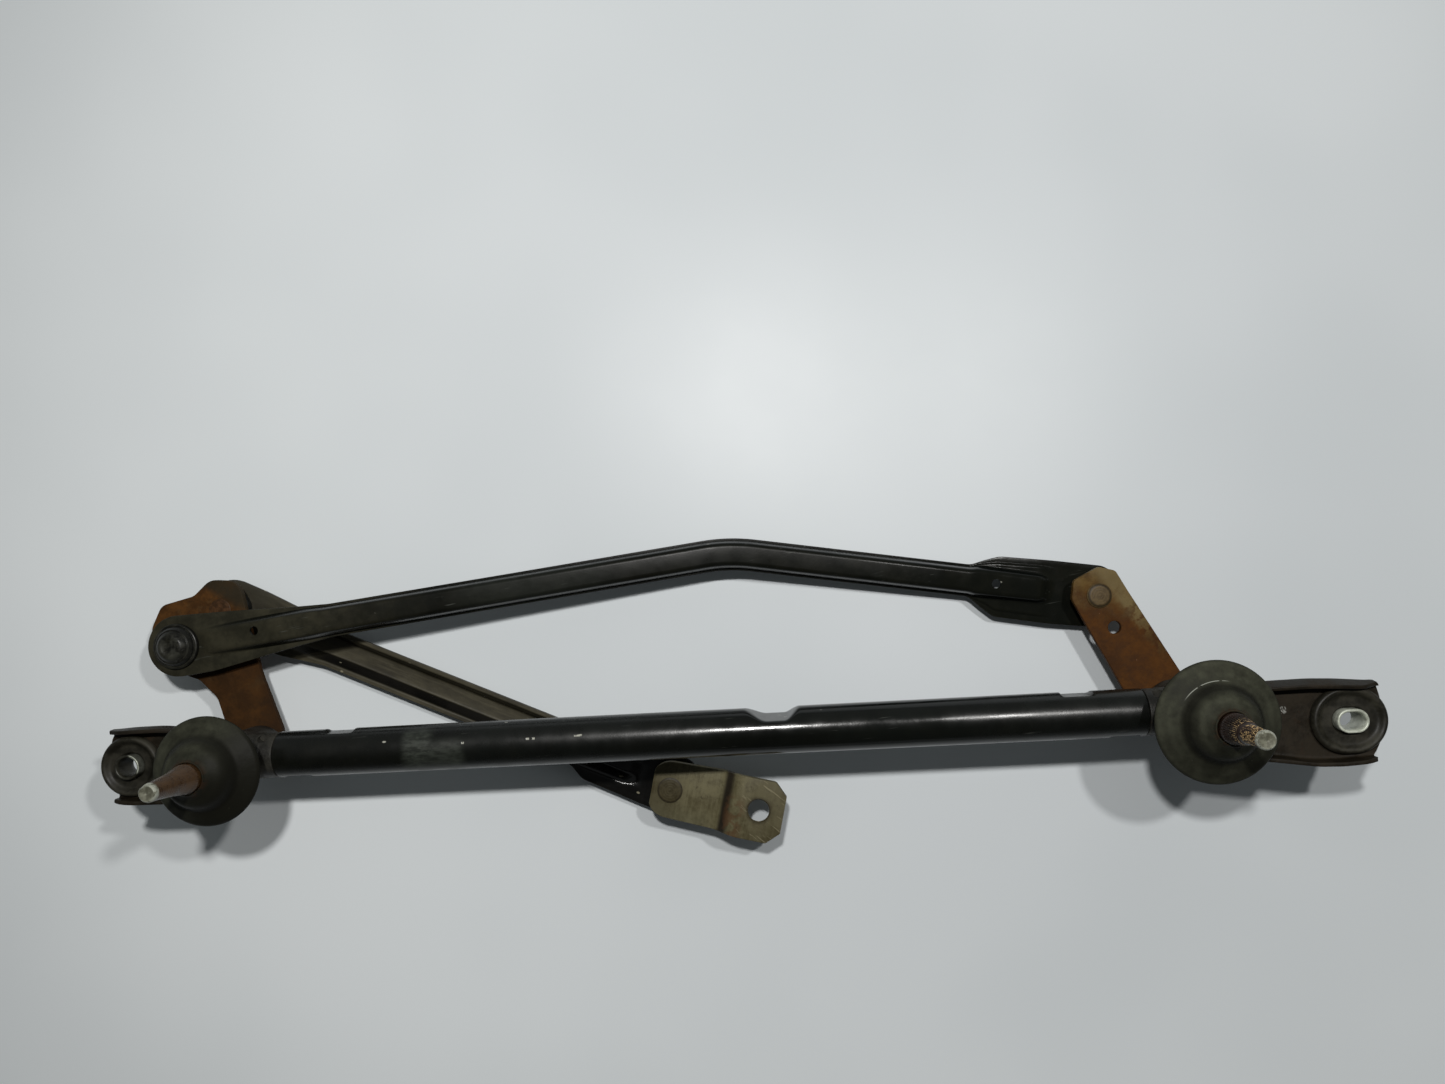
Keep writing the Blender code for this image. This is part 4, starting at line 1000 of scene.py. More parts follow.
def frame_tube(finish):
    """The tube, crimped onto both housings' spigots and pinched flat at the rear once in its length."""
    first = TUBE_INSET
    last = PIVOT_SPACING - TUBE_INSET
    # place along the tube, and 1 for a crimp at its rear or -1 for one at its front
    crimps = (
        (first + FRONT_CRIMP, -1), (first + REAR_CRIMP, 1),
        (last - REAR_CRIMP, 1), (last - FRONT_CRIMP, -1),
    )

    def flattened(radius, angle, facing_angle, depth):
        """How far a flat face, pressed in by depth at its middle, takes the round wall in."""
        facing = math.cos(angle - facing_angle)
        return max(0.0, radius - (radius - depth) / facing) if facing > 0.3 else 0.0

    def dent(x, angle):
        push = 0.0
        for crimp, way in crimps:
            share = ease((CRIMP_HALF - abs(x - crimp)) / 1.1 + 0.5)
            facing_angle = 0.0 if way > 0 else math.pi
            push += flattened(TUBE_R, angle, facing_angle, CRIMP_DEPTH * 1.15 * share)
        left = ease((x - PINCH_X + PINCH_LEFT) / 11.0)
        right = ease((PINCH_X + PINCH_RIGHT - x) / 7.5)
        depth = PINCH_DEPTH * left * right
        facing = max(math.cos(angle - PINCH_ANGLE), 0.05)
        flat = (TUBE_R - depth) / facing
        # the flat and the round wall meet in a soft fold
        fold = max(1.6 - abs(flat - TUBE_R), 0.0) / 1.6
        pinched = min(flat, TUBE_R) - 0.4 * fold ** 2 * min(depth, 1.0)
        return push + TUBE_R - pinched

    chamfer = 0.5
    places = steps_between(first + chamfer, last - chamfer, 1.0)
    outer = [(first, chamfer)] + [(x, 0.0) for x in places] + [(last, chamfer)]
    inner = [(x, 0.0) for x in reversed(steps_between(first, last, 4.0))]
    loops = []
    for rows, radius in ((outer, TUBE_R), (inner, TUBE_R - TUBE_WALL)):
        for x, back in rows:
            loop = []
            for y, z in circle(1.0, 144):
                reach = radius - back - dent(x, math.atan2(z, y))
                loop.append((x, TUBE_Y + reach * y, TUBE_Z + reach * z))
            loops.append(loop)
    piece("frame_tube", skin(loops, closed=True), finish, sharp=28)


def pivot_housing(side, pivot, toward, finish):
    """Cast housing: a barrel with a bracket seat, a neck with a recess, and a spigot in the tube."""
    bead_r = BARREL_R + 0.9
    seat = RING_WEB_TOP - BRACKET_SHEET - GAP
    barrel = eased([
        (0, HOUSING_BOTTOM, 0), (SHOULDER_R, HOUSING_BOTTOM, 2.0), (SHOULDER_R, seat, 0.4),
        (BARREL_R, seat, 0.3), (BARREL_R, RING_WEB_TOP + GAP, 0), (bead_r, RING_WEB_TOP + GAP, 0.3),
        (bead_r, RING_WEB_TOP + 1.6, 0.5), (BARREL_R, RING_WEB_TOP + 2.0, 0.3),
        (BARREL_R, HOUSING_TOP, 0.7),
        (0, HOUSING_TOP, 0),
    ])
    groove_r = SPIGOT_R - CRIMP_DEPTH - GAP - 0.3
    neck_end = TUBE_INSET - GAP
    tip = TUBE_INSET + SPIGOT_REACH
    spigot = eased([
        (2.0, TUBE_R, 0), (neck_end - 7, TUBE_R, 0.3), (neck_end - 6, TUBE_R - 0.25, 0.3),
        (neck_end, TUBE_R - 0.25, 0.5), (neck_end, SPIGOT_R, 0), (neck_end + 2, SPIGOT_R, 0),
        (neck_end + 2, groove_r, 0), (tip - 6, groove_r, 0), (tip - 6, SPIGOT_R, 0),
        (tip, SPIGOT_R, 1.0),
        (tip, 1.0, 0),
    ])
    loops = []
    for x, radius in spigot:
        loop = circle(radius, FINE, TUBE_Y, TUBE_Z)
        loops.append([(pivot[0] + toward * x, y, z) for y, z in loop])
    bore = drill(pivot, HOUSING_BORE_R, HOUSING_BOTTOM - 1, HOUSING_TOP + 1)
    joined = carve(turned(barrel, pivot), [skin(loops)], "UNION")
    recess_x = pivot[0] + toward * 18.0
    recess = [
        [(recess_x + x * 2.6, TUBE_Y + 9.0 + y * 1.7, TUBE_Z + height) for x, y in circle(1.0, 32)]
        for height in (3.4, 20.0)
    ]
    housing = carve(joined, [bore, skin(recess)])
    piece(side + "_pivot_housing", housing, finish, sharp=36)


def bushes(side, pivot, finish):
    for end, face, out in (("lower", HOUSING_BOTTOM - GAP, -1), ("upper", HOUSING_TOP + GAP, 1)):
        tip = face - out * BUSH_LENGTH
        outer = face + out * BUSH_FLANGE
        line = eased([
            (BUSH_BORE_R, tip, 0), (BUSH_R, tip, 0.5), (BUSH_R, face, 0.2), (BUSH_FLANGE_R, face, 0.15),
            (BUSH_FLANGE_R, outer, 0.3), (BUSH_BORE_R, outer, 0),
        ])
        piece(side + "_" + end + "_bush", turned(line, pivot), finish)


def mount_bracket(side, pivot, outward, stations, lean, end_line, eye, finish):
    """Stamped ear: a channel that steps up to a ring. lean tips its rear flange inward."""
    middle = BRACKET_SHEET / 2
    bend = 3.0
    loops = []
    for distance in steps_between(stations[0][0], stations[-1][0], 1.0):
        low, high, web_top, flange = softened(stations, distance, 2.5)
        rear_tip = high - 1 - lean * (flange - 1.6) / 7
        line = eased([
            (low + 1, flange, 0), (low + 1, 0.0, bend), (high - 1, 0.0, bend), (rear_tip, flange, 0),
        ], steps=8)
        section = strip([(y, z + web_top - middle) for y, z in line], BRACKET_SHEET, edge=0.6)
        loops.append([(pivot[0] + outward * distance, pivot[1] + y, z) for y, z in section])
    far = 130.0
    trim = [(far, 42.0, 1.0)] + end_line + [(far, -42.0, 1.0)]
    trim = [(pivot[0] + outward * x, pivot[1] + y) for x, y in rounded(trim, 6)]
    tools = [
        plate([trim], WEB_TOP - 8, WEB_TOP + 30),
        drill(pivot, BARREL_R + GAP, WEB_TOP - 4, RING_WEB_TOP + 4),
        drill(eye, GROMMET_NECK_R + GAP, WEB_TOP - BRACKET_SHEET, WEB_TOP),
    ]
    piece(side + "_mount_bracket", carve(skin(loops), tools), finish)


def grommet(side, eye, lips, hole, rubber, zinc):
    """Rubber grommet with a rolled lip and a dished face, and the steel sleeve for its bolt.

    lips and hole are the length and width of the grommet's lips and of the sleeve's hole.
    """
    low = WEB_TOP - BRACKET_SHEET - GAP
    high = WEB_TOP + GAP
    lip = 3.4
    neck = 2 * GROMMET_NECK_R
    slot = (hole[0] + 3.0 + 2 * GAP, hole[1] + 3.0 + 2 * GAP)
    # how far inside the lips' outline, height, reach of the corner
    line = eased([
        (3.0, low - lip, 0), (0.6, low - lip, 0.6), (0.0, low - lip + 1.4, 1.0), (0.4, low, 0.3),
    ], steps=4)
    upper = eased([
        (0.4, high, 0.3), (0.0, high + lip - 1.8, 1.2), (1.2, high + lip, 1.2),
        (2.6, high + lip - 0.1, 0.9),
        (4.2, high + lip - 1.8, 1.2), (5.4, high + lip - 2.0, 0.5),
    ], steps=4)
    rows = [(slot[0], slot[1], low - lip)]
    rows += [(lips[0] - 2 * back, lips[1] - 2 * back, z) for back, z in line]
    rows += [(neck + 0.2, neck, low), (neck + 0.2, neck, high)]
    rows += [(lips[0] - 2 * back, lips[1] - 2 * back, z) for back, z in upper]
    rows += [(slot[0] + 1.2, slot[1] + 1.2, high + lip - 1.8), (slot[0], slot[1], high + lip - 2.2)]
    loops = [[(x, y, z) for x, y in oblong(length, width, FINE, *eye)] for length, width, z in rows]
    piece(side + "_grommet", skin(loops, closed=True), rubber)
    middle = WEB_TOP - BRACKET_SHEET / 2
    bottom = middle - SLEEVE_HEIGHT / 2
    top = middle + SLEEVE_HEIGHT / 2
    wall = 3.0
    rim = eased([
        (0, bottom + 0.7, 0), (0.5, bottom, 0.3), (wall, bottom, 0.5), (wall, top, 0.9),
        (1.0, top, 0.6),
        (0.0, top - 0.9, 0.5), (0.0, top - 4.0, 0), (0.0, bottom + 3.0, 0),
    ])
    sleeve = [
        [(x, y, z) for x, y in oblong(hole[0] + back, hole[1] + back, FINE, *eye)] for back, z in rim
    ]
    piece(side + "_grommet_sleeve", skin(sleeve, closed=True), zinc)


def pivot_cap(side, pivot, cap_r, finish):
    """Rubber rain cap: a rolled edge, a shallow skirt, a rounded boss and a collar round the shaft."""
    collar_r = SHAFT_R + GAP
    z = RIM_Z
    line = eased([
        (cap_r - 4.2, z - 5.2, 0), (cap_r - 3.2, z - 5.2, 0.4), (cap_r - 0.6, z - 2.2, 1.0),
        (cap_r, z - 1.0, 0.6),
        (cap_r - 1.0, z + 0.3, 0.7), (20.4, z + 2.6, 3.0), (17.4, z + 4.0, 2.0), (16.2, z + 6.0, 1.6),
        (15.2, z + 8.6, 2.0), (13.2, z + 11.0, 2.4), (10.4, z + 12.6, 1.6), (8.2, z + 14.4, 0.9),
        (7.7, z + 15.4, 0.3), (collar_r, z + 15.0, 0), (collar_r, z + 12.0, 0), (12.0, z + 9.2, 1.0),
        (14.2, z + 5.0, 1.0), (16.0, z + 2.2, 1.0), (cap_r - 3.2, z - 1.4, 1.0),
        (cap_r - 4.2, z - 3.4, 0),
    ])
    piece(side + "_pivot_cap", turned(line, pivot, 160), finish)


# ---------------------------------------------------------------- lever pieces

def shaft(side, pivot, cone, knurl, thread, chip, finish):
    """Wiper shaft, with knurled teeth on its cone, a screw thread above them, and a chamfered end."""
    spigot_r = 4.5
    head_r = 6.6
    low = LEVER_BOTTOM - GAP
    foot = eased([
        (0, low - 2.2, 0), (head_r, low - 2.2, 1.4), (head_r, low, 0), (spigot_r, low, 0),
        (spigot_r, LEVER_TOP + GAP, 0), (SHAFT_R, LEVER_TOP + GAP, 0.4), (SHAFT_R, GROOVE_Z, 0.2),
        (GROOVE_R, GROOVE_Z, 0), (GROOVE_R, GROOVE_Z + GROOVE, 0), (SHAFT_R, GROOVE_Z + GROOVE, 0.2),
        (SHAFT_R, CONE_BOTTOM - 1.0, 0),
    ])
    count = KNURL_TEETH * 4
    loops = rings(foot, pivot, count)
    for height in steps_between(CONE_BOTTOM - 1.0, TIP_Z, 0.16)[1:]:
        radius = between(cone, height)[0]
        toothed = ease((height - CONE_BOTTOM) / 1.2) * ease((CONE_TOP - height) / 0.6 + 0.3)
        threaded = ease((height - THREAD_BOTTOM) / 1.2) * ease((TIP_Z - 1.0 - height) / 0.8)
        loop = []
        for k in range(count):
            angle = 2 * math.pi * k / count
            tooth = abs((k % 4) - 2) / 2
            turn = (height / THREAD_PITCH - angle / (2 * math.pi)) % 1.0
            groove = abs(turn - 0.5) * 2
            reach = radius - knurl * toothed * (1 - tooth) - thread * threaded * (1 - groove)
            reach -= chip * ease(math.cos(angle - 1.9) * 3 - 2.1) * ease((height - TIP_Z + 2.4) / 2.0)
            x = pivot[0] + reach * math.cos(angle)
            y = pivot[1] + reach * math.sin(angle)
            loop.append((x, y, height))
        loops.append(loop)
    end = ((2.8, 0.0), (2.5, 0.14), (0.9, 0.14), (0.55, 0.3), (0.2, 0.5))
    loops += rings([(radius, TIP_Z - drop) for radius, drop in end], pivot, count)
    # the plain rings start at -Y, and are turned to start at +X like the toothed ones
    quarter = count // 4
    for index in [*range(1, len(foot)), *range(-len(end), 0)]:
        loops[index] = loops[index][quarter:] + loops[index][:quarter]
    piece(side + "_shaft", skin(loops), finish, sharp=40)
    return spigot_r + GAP


def washers(side, pivot, steel):
    """Thrust washer under the housing, washer over it, and the circlip in the shaft's groove."""
    flange_low = HOUSING_BOTTOM - GAP - BUSH_FLANGE
    flange_high = HOUSING_TOP + GAP + BUSH_FLANGE
    inner_r = SHAFT_R + GAP
    rows = (
        ("_thrust_washer", LEVER_TOP + GAP, flange_low - GAP),
        ("_top_washer", flange_high + GAP, GROOVE_Z - GAP),
    )
    for ending, low, high in rows:
        outlines = [circle(BUSH_FLANGE_R, FINE, *pivot), circle(inner_r, FINE, *pivot)]
        piece(side + ending, plate(outlines, low, high, edge=0.15), steel)
    open_half = math.radians(28)
    inner_r = GROOVE_R + GAP
    count = 48
    turns = [open_half + (2 * math.pi - 2 * open_half) * k / count for k in range(count + 1)]
    # widest at its back, opposite its opening
    outer = [(9.4 - 0.5 * (abs(angle - math.pi) / math.pi), angle) for angle in turns]
    inner = [(inner_r, angle) for angle in reversed(turns)]
    outline = [(pivot[0] + r * math.cos(a), pivot[1] + r * math.sin(a)) for r, a in outer + inner]
    clip_z = GROOVE_Z + 0.25
    piece(side + "_circlip", plate([outline], clip_z, clip_z + CLIP, edge=0.12), steel)


def lever(side, pivot, corners, holes, finish):
    """Flat stamped lever with softened edges, its shaft hole, its stud holes and any spare hole."""
    outlines = [[(pivot[0] + x, pivot[1] + y) for x, y in rounded(corners)]]
    outlines += [circle(radius, 56, pivot[0] + x, pivot[1] + y) for x, y, radius in holes]
    slot = side + "_lever"
    piece(slot, plate(outlines, LEVER_BOTTOM, LEVER_TOP, edge=0.45, steps=4), finish)


def ball_stud(name, place, up, head_r, crown, finish):
    """Riveted ball stud. up is 1 when its ball is above the plate, and crown is its head's height."""
    near, far = (LEVER_TOP, LEVER_BOTTOM) if up > 0 else (LEVER_BOTTOM, LEVER_TOP)
    ball_z = HIGH_BALL_Z if up > 0 else LOW_BALL_Z
    shoulder = near + up * (GAP + 1.2)
    head = eased([
        (0, far - up * (GAP + crown), 0),
        (head_r - 2.0 + crown / 2, far - up * (GAP + crown - 0.15), 0.8),
        (head_r - 0.1, far - up * (GAP + 0.3), 0.3), (head_r - 0.2, far - up * GAP, 0.1),
        (SHANK_R, far - up * GAP, 0),
        (SHANK_R, near + up * GAP, 0), (RIVET_R, near + up * GAP, 0.2), (RIVET_R, shoulder, 0.4),
        (NECK_R, shoulder, 0.3), (NECK_R, near + up * (GAP + 2.0), 0),
    ])
    start = math.acos(NECK_R / BALL_R)
    rings = 18
    ball = []
    for k in range(rings):
        angle = -start + (start + math.pi / 2) * k / rings
        ball.append((BALL_R * math.cos(angle), ball_z + up * BALL_R * math.sin(angle)))
    profile = head + ball + [(0, ball_z + up * BALL_R)]
    piece(name, turned(profile, place, SMALL), finish)


# ---------------------------------------------------------------- link pieces

def socket(name, place, ball_z, up, play, finish):
    """Moulded cup round a ball, with a clipped flange and a domed, ringed closed end."""
    sheet = LINK_SHEET / 2 + GAP
    hole = BALL_R + GAP + play
    mouth = NECK_R + 1.2 + play
    end = LOW_BALL_Z
    line = eased([
        (3.4 + play, BALL_R + 0.2, 0.4), (hole, 2.4, 0.8), (hole, -2.0, 0.8), (mouth, -4.4, 0.3),
        (SOCKET_R - 0.6, -4.4, 0.5), (SOCKET_R + 0.6, -3.2, 0.5), (SOCKET_R + 0.6, -sheet, 0.1),
        (SOCKET_R, -sheet, 0), (SOCKET_R, sheet, 0), (SOCKET_FLANGE_R, sheet, 0.2),
        (SOCKET_FLANGE_R, sheet + 1.9, 0.6), (10.6, sheet + 2.3, 0.3), (10.1, sheet + 2.1, 0.2),
        (9.7, sheet + 3.2, 0.3), (8.6, sheet + 4.9, 0.5), (8.1, sheet + 4.8, 0.2),
        (7.4, sheet + 5.6, 0.4),
        (6.0, end - 0.5, 0.7), (4.6, end - 0.1, 0.6), (3.6, end - 0.5, 0.5), (1.0, end - 0.9, 0),
    ])
    profile = [(0, BALL_R + 0.5)] + line + [(0, end - 0.95)]
    piece(name, turned([(r, ball_z + up * z) for r, z in profile], place, SMALL), finish)


def seal(name, place, ball_z, up, play, finish):
    """Rubber dust ring between a lever and a socket's mouth."""
    inner_r = NECK_R + 0.9 + play
    line = eased([
        (inner_r, -7.4, 0), (8.2, -7.4, 0.4), (8.5, -6.8, 0.2), (8.0, -6.5, 0.2), (9.6, -6.1, 0.3),
        (9.4, -5.3, 0.3), (8.9, -4.4 - GAP, 0.2), (inner_r, -4.4 - GAP, 0),
    ])
    piece(name, turned([(r, ball_z + up * z) for r, z in line], place, SMALL), finish)


def follow(points, bend_radius, places):
    """Points and left-hand normals at the given distances along a line with one rounded bend."""
    start, corner, end = (Vector(point) for point in points)
    first = (corner - start).normalized()
    second = (end - corner).normalized()
    turn = first.angle_signed(second)
    trim = bend_radius * math.tan(abs(turn) / 2)
    straight = (corner - start).length - trim
    arc = bend_radius * abs(turn)
    stations = []
    for place in places:
        into_arc = min(max(place - straight, 0.0), arc)
        angle = math.atan2(first.y, first.x) - turn * into_arc / arc
        along = Vector((math.cos(angle), math.sin(angle)))
        chord = 2 * bend_radius * math.sin(abs(turn) * into_arc / arc / 2)
        halfway = math.atan2(first.y, first.x) - turn * into_arc / arc / 2
        spot = start + first * min(place, straight)
        spot = spot + Vector((math.cos(halfway), math.sin(halfway))) * chord
        spot = spot + along * max(place - straight - arc, 0.0)
        stations.append((spot, Vector((-along.y, along.x))))
    return stations


def rib_section(left_edge, right_edge, base, top, rise, ledge):
    """A stamped rib's section: flanges with a ledge, sloping walls, soft bends and a flat crown."""
    smallest = min(left_edge, right_edge)
    base = min(base, smallest * 0.8)
    top = min(top, smallest * 0.6)
    bend = 1.5
    step = min(0.7, smallest * 0.05)
    corners = []
    for way, edge in ((-1, left_edge), (1, right_edge)):
        outer = max(edge - 3.4, base + (edge - base) * 0.5)
        side = [
            (way * edge, 0.0, 0), (way * outer, 0.0, step), (way * (outer - step), ledge, step),
            (way * base, ledge, bend), (way * top, rise, bend),
        ]
        corners.append(side)
    line = eased(corners[0] + corners[1][::-1], steps=5)
    return strip(line, LINK_SHEET, edge=0.3)


def round_end_half(place, length, wide):
    """Half-width of a link at a place, narrowed to a round end past each ball."""
    past = max(-place, place - length, 0.0)
    if past == 0:
        return wide
    return min(wide, math.sqrt(max(END_R ** 2 - past ** 2, 0.0)))


def link_places(length, spacing):
    """Distances along a link: close together round its ends, and evenly spaced between its balls."""
    turns = [math.radians(2 + 84 * k / 16) for k in range(17)]
    start = [-END_R * math.cos(a) for a in turns]
    end = [length + END_R * math.cos(a) for a in reversed(turns)]
    return start + steps_between(0.0, length, spacing) + end


def long_link(finish):
    """Stamped rib open downward, bent once in plan, from over the left lever to under the right one."""
    start = Vector(LEFT_LINK_BALL)
    corner = Vector(LINK_CORNER)
    end = Vector(RIGHT_LINK_BALL)
    length = (corner - start).length + (end - corner).length
    # distance, edge on the lower side, edge on the upper side, rib base, rib top, rib rise, ledge
    table = [
        (-20, 15.6, 15.6, 6.0, 4.0, 0.0, 0.0), (0, 15.6, 15.6, 6.0, 4.0, 0.0, 0.0),
        (13, 15.5, 14.6, 7.0, 5.0, 0.0, 0.0), (18, 15.4, 14.2, 7.0, 5.0, 2.0, 0.0),
        (38, 13.0, 12.4, 7.4, 5.2, 4.0, 0.0), (58, 10.6, 10.2, 7.4, 5.4, 6.6, 0.0),
        (80, 8.4, 8.4, 7.5, 5.5, 8.0, 0.0), (170, 8.2, 8.2, 7.5, 5.5, 8.0, 0.0),
        (length - 62, 8.2, 8.2, 7.5, 5.5, 8.0, 0.0), (length - 55, 13.0, 11.4, 7.5, 5.5, 7.2, 0.7),
        (length - 48, 17.0, 14.0, 7.4, 5.4, 6.4, 0.8), (length - 27, 17.3, 14.8, 7.0, 5.2, 5.0, 0.7),
        (length - 21, 17.4, 15.0, 6.0, 4.6, 0.0, 0.0), (length, 16.4, 15.2, 6.0, 4.0, 0.0, 0.0),
        (length + 20, 16.4, 15.2, 6.0, 4.0, 0.0, 0.0),
    ]
    drop = ((-20, HIGH_BALL_Z), (60, HIGH_BALL_Z), (length - 60, LOW_BALL_Z), (length + 20, LOW_BALL_Z))
    places = link_places(length, 1.5)
    loops = []
    for place, (spot, normal) in zip(places, follow((start, corner, end), LINK_BEND_R, places)):
        low, high, base, top, rise, ledge = softened(table, place, 1.6)
        low = round_end_half(place, length, low)
        high = round_end_half(place, length, high)
        height = softened(drop, place, 10.0)[0]
        section = rib_section(low, high, base, top, rise, ledge)
        loops.append([(*(spot + normal * across), height + up) for across, up in section])
    half = LINK_SHEET / 2
    tools = [
        drill(LEFT_LINK_BALL, SOCKET_R + GAP, HIGH_BALL_Z - half, HIGH_BALL_Z + half),
        drill(RIGHT_LINK_BALL, SOCKET_R + GAP, LOW_BALL_Z - half, LOW_BALL_Z + half),
        drill(LEFT_LINK_HOLE, LINK_HOLE_R, HIGH_BALL_Z - 5, HIGH_BALL_Z + 8),
        drill(RIGHT_LINK_HOLE, LINK_HOLE_R, LOW_BALL_Z - 5, LOW_BALL_Z + 18),
    ]
    piece("long_link", carve(skin(loops), tools), finish)


def drive_link(finish):
    """Straight stamped channel, open upward, from under the left lever to under the crank."""
    start = Vector(LEFT_DRIVE_BALL)
    span = Vector(CRANK_BALL) - start
    length = span.length
    along = span.normalized()
    normal = Vector((-along.y, along.x))
    # distance, edge half-width, rib base, rib top, rib depth
    table = [
        (-20, 15.6, 6.0, 4.0, 0.0), (0, 15.6, 6.0, 4.0, 0.0), (14, 15.2, 7.0, 4.2, 0.0),
        (34, 13.6, 8.4, 4.6, -3.6),
        (56, 10.2, 9.0, 4.8, -6.8), (length - 53, 10.2, 9.0, 4.8, -6.8),
        (length - 45, 14.9, 8.9, 4.8, -6.4),
        (length - 25, 15.2, 8.8, 4.6, -5.6), (length - 16, 15.4, 7.4, 3.8, 0.0),
        (length, 15.6, 6.0, 4.0, 0.0),
        (length + 20, 15.6, 6.0, 4.0, 0.0),
    ]
    loops = []
    for place in link_places(length, 1.5):
        edge, base, top, depth = softened(table, place, 2.0)
        edge = round_end_half(place, length, edge)
        section = rib_section(edge, edge, base, top, depth, 0.0)
        spot = start + along * place
        loops.append([(*(spot + normal * across), LOW_BALL_Z + up) for across, up in section])
    half = LINK_SHEET / 2
    balls = (LEFT_DRIVE_BALL, CRANK_BALL)
    tools = [drill(ball, SOCKET_R + GAP, LOW_BALL_Z - half, LOW_BALL_Z + half) for ball in balls]
    piece("drive_link", carve(skin(loops), tools), finish)


def motor_crank(finish):
    """Crank plate with clipped corners, bent up to the motor shaft's tapered hole at its far end."""
    step_up = 6.0
    back = -9.4
    end = CRANK_REACH + 12.6
    rise = eased([(back, 0.0, 0), (26.0, 0.0, 3.4), (33.6, step_up, 5.0), (end, step_up, 0)], steps=14)
    widths = eased([
        (back, 8.8, 0), (-8.0, 11.0, 1.2), (-5.6, 13.0, 1.4), (-2.0, 14.2, 1.6), (24.0, 15.0, 0),
        (36.0, 15.4, 0),
        (end - 6.4, 15.4, 1.0), (end, 9.4, 0),
    ], steps=4)
    places = [row[0] for row in widths] + steps_between(0, 50, 1.0)
    places = sorted({round(place, 3) for place in places})
    along = Vector((math.cos(CRANK_ANGLE), math.sin(CRANK_ANGLE)))
    normal = Vector((-along.y, along.x))
    edge = 0.4

    def section(width, shrink):
        """Corners of the plate's cross-section, rounded, and shrunk for its end faces."""
        bottom = LEVER_BOTTOM + shrink
        top = LEVER_TOP - shrink
        half = width - shrink
        corners = [(-half, bottom), (half, bottom), (half, top), (-half, top)]
        return rounded([(x, z, edge) for x, z in corners], 3)

    rows = [(back, edge), (back + 0.12, 0.12)]
    rows += [(place, 0.0) for place in places if back + 0.4 < place < end - 0.4]
    rows += [(end - 0.12, 0.12), (end, edge)]
    loops = []
    for place, shrink in rows:
        spot = Vector(CRANK_BALL) + along * place
        up = between(rise, place)[0]
        width = between(widths, place)[0]
        loops.append([(*(spot + normal * across), z + up) for across, z in section(width, shrink)])
    hole = Vector(CRANK_BALL) + along * CRANK_REACH
    bottom = LEVER_BOTTOM + step_up
    top = LEVER_TOP + step_up
    taper = [
        (0, bottom - 3), (6.5, bottom - 3), (6.1, bottom), (5.3, top - 0.9), (6.1, top),
        (6.1, top + 3), (0, top + 3),
    ]
    tools = [
        drill(CRANK_BALL, SHANK_R + GAP, LEVER_BOTTOM - 1, LEVER_TOP + 1),
        turned(taper, tuple(hole), SMALL),
    ]
    piece("motor_crank", carve(skin(loops), tools), finish)


# ---------------------------------------------------------------- stage

def lamp(place, power):
    """A round lamp that faces the middle of the assembly."""
    light = bpy.data.lights.new("lamp", "AREA")
    light.shape = "DISK"
    light.size = LAMP_SIZE * MM
    light.energy = power
    light.color = LAMP_COLOUR
    thing = add_object("lamp", light)
    thing.location = ORIGIN + Vector(place) * MM
    middle = ORIGIN + Vector(LAMPS_FACE) * MM
    thing.rotation_euler = (middle - thing.location).to_track_quat("-Z", "Y").to_euler()


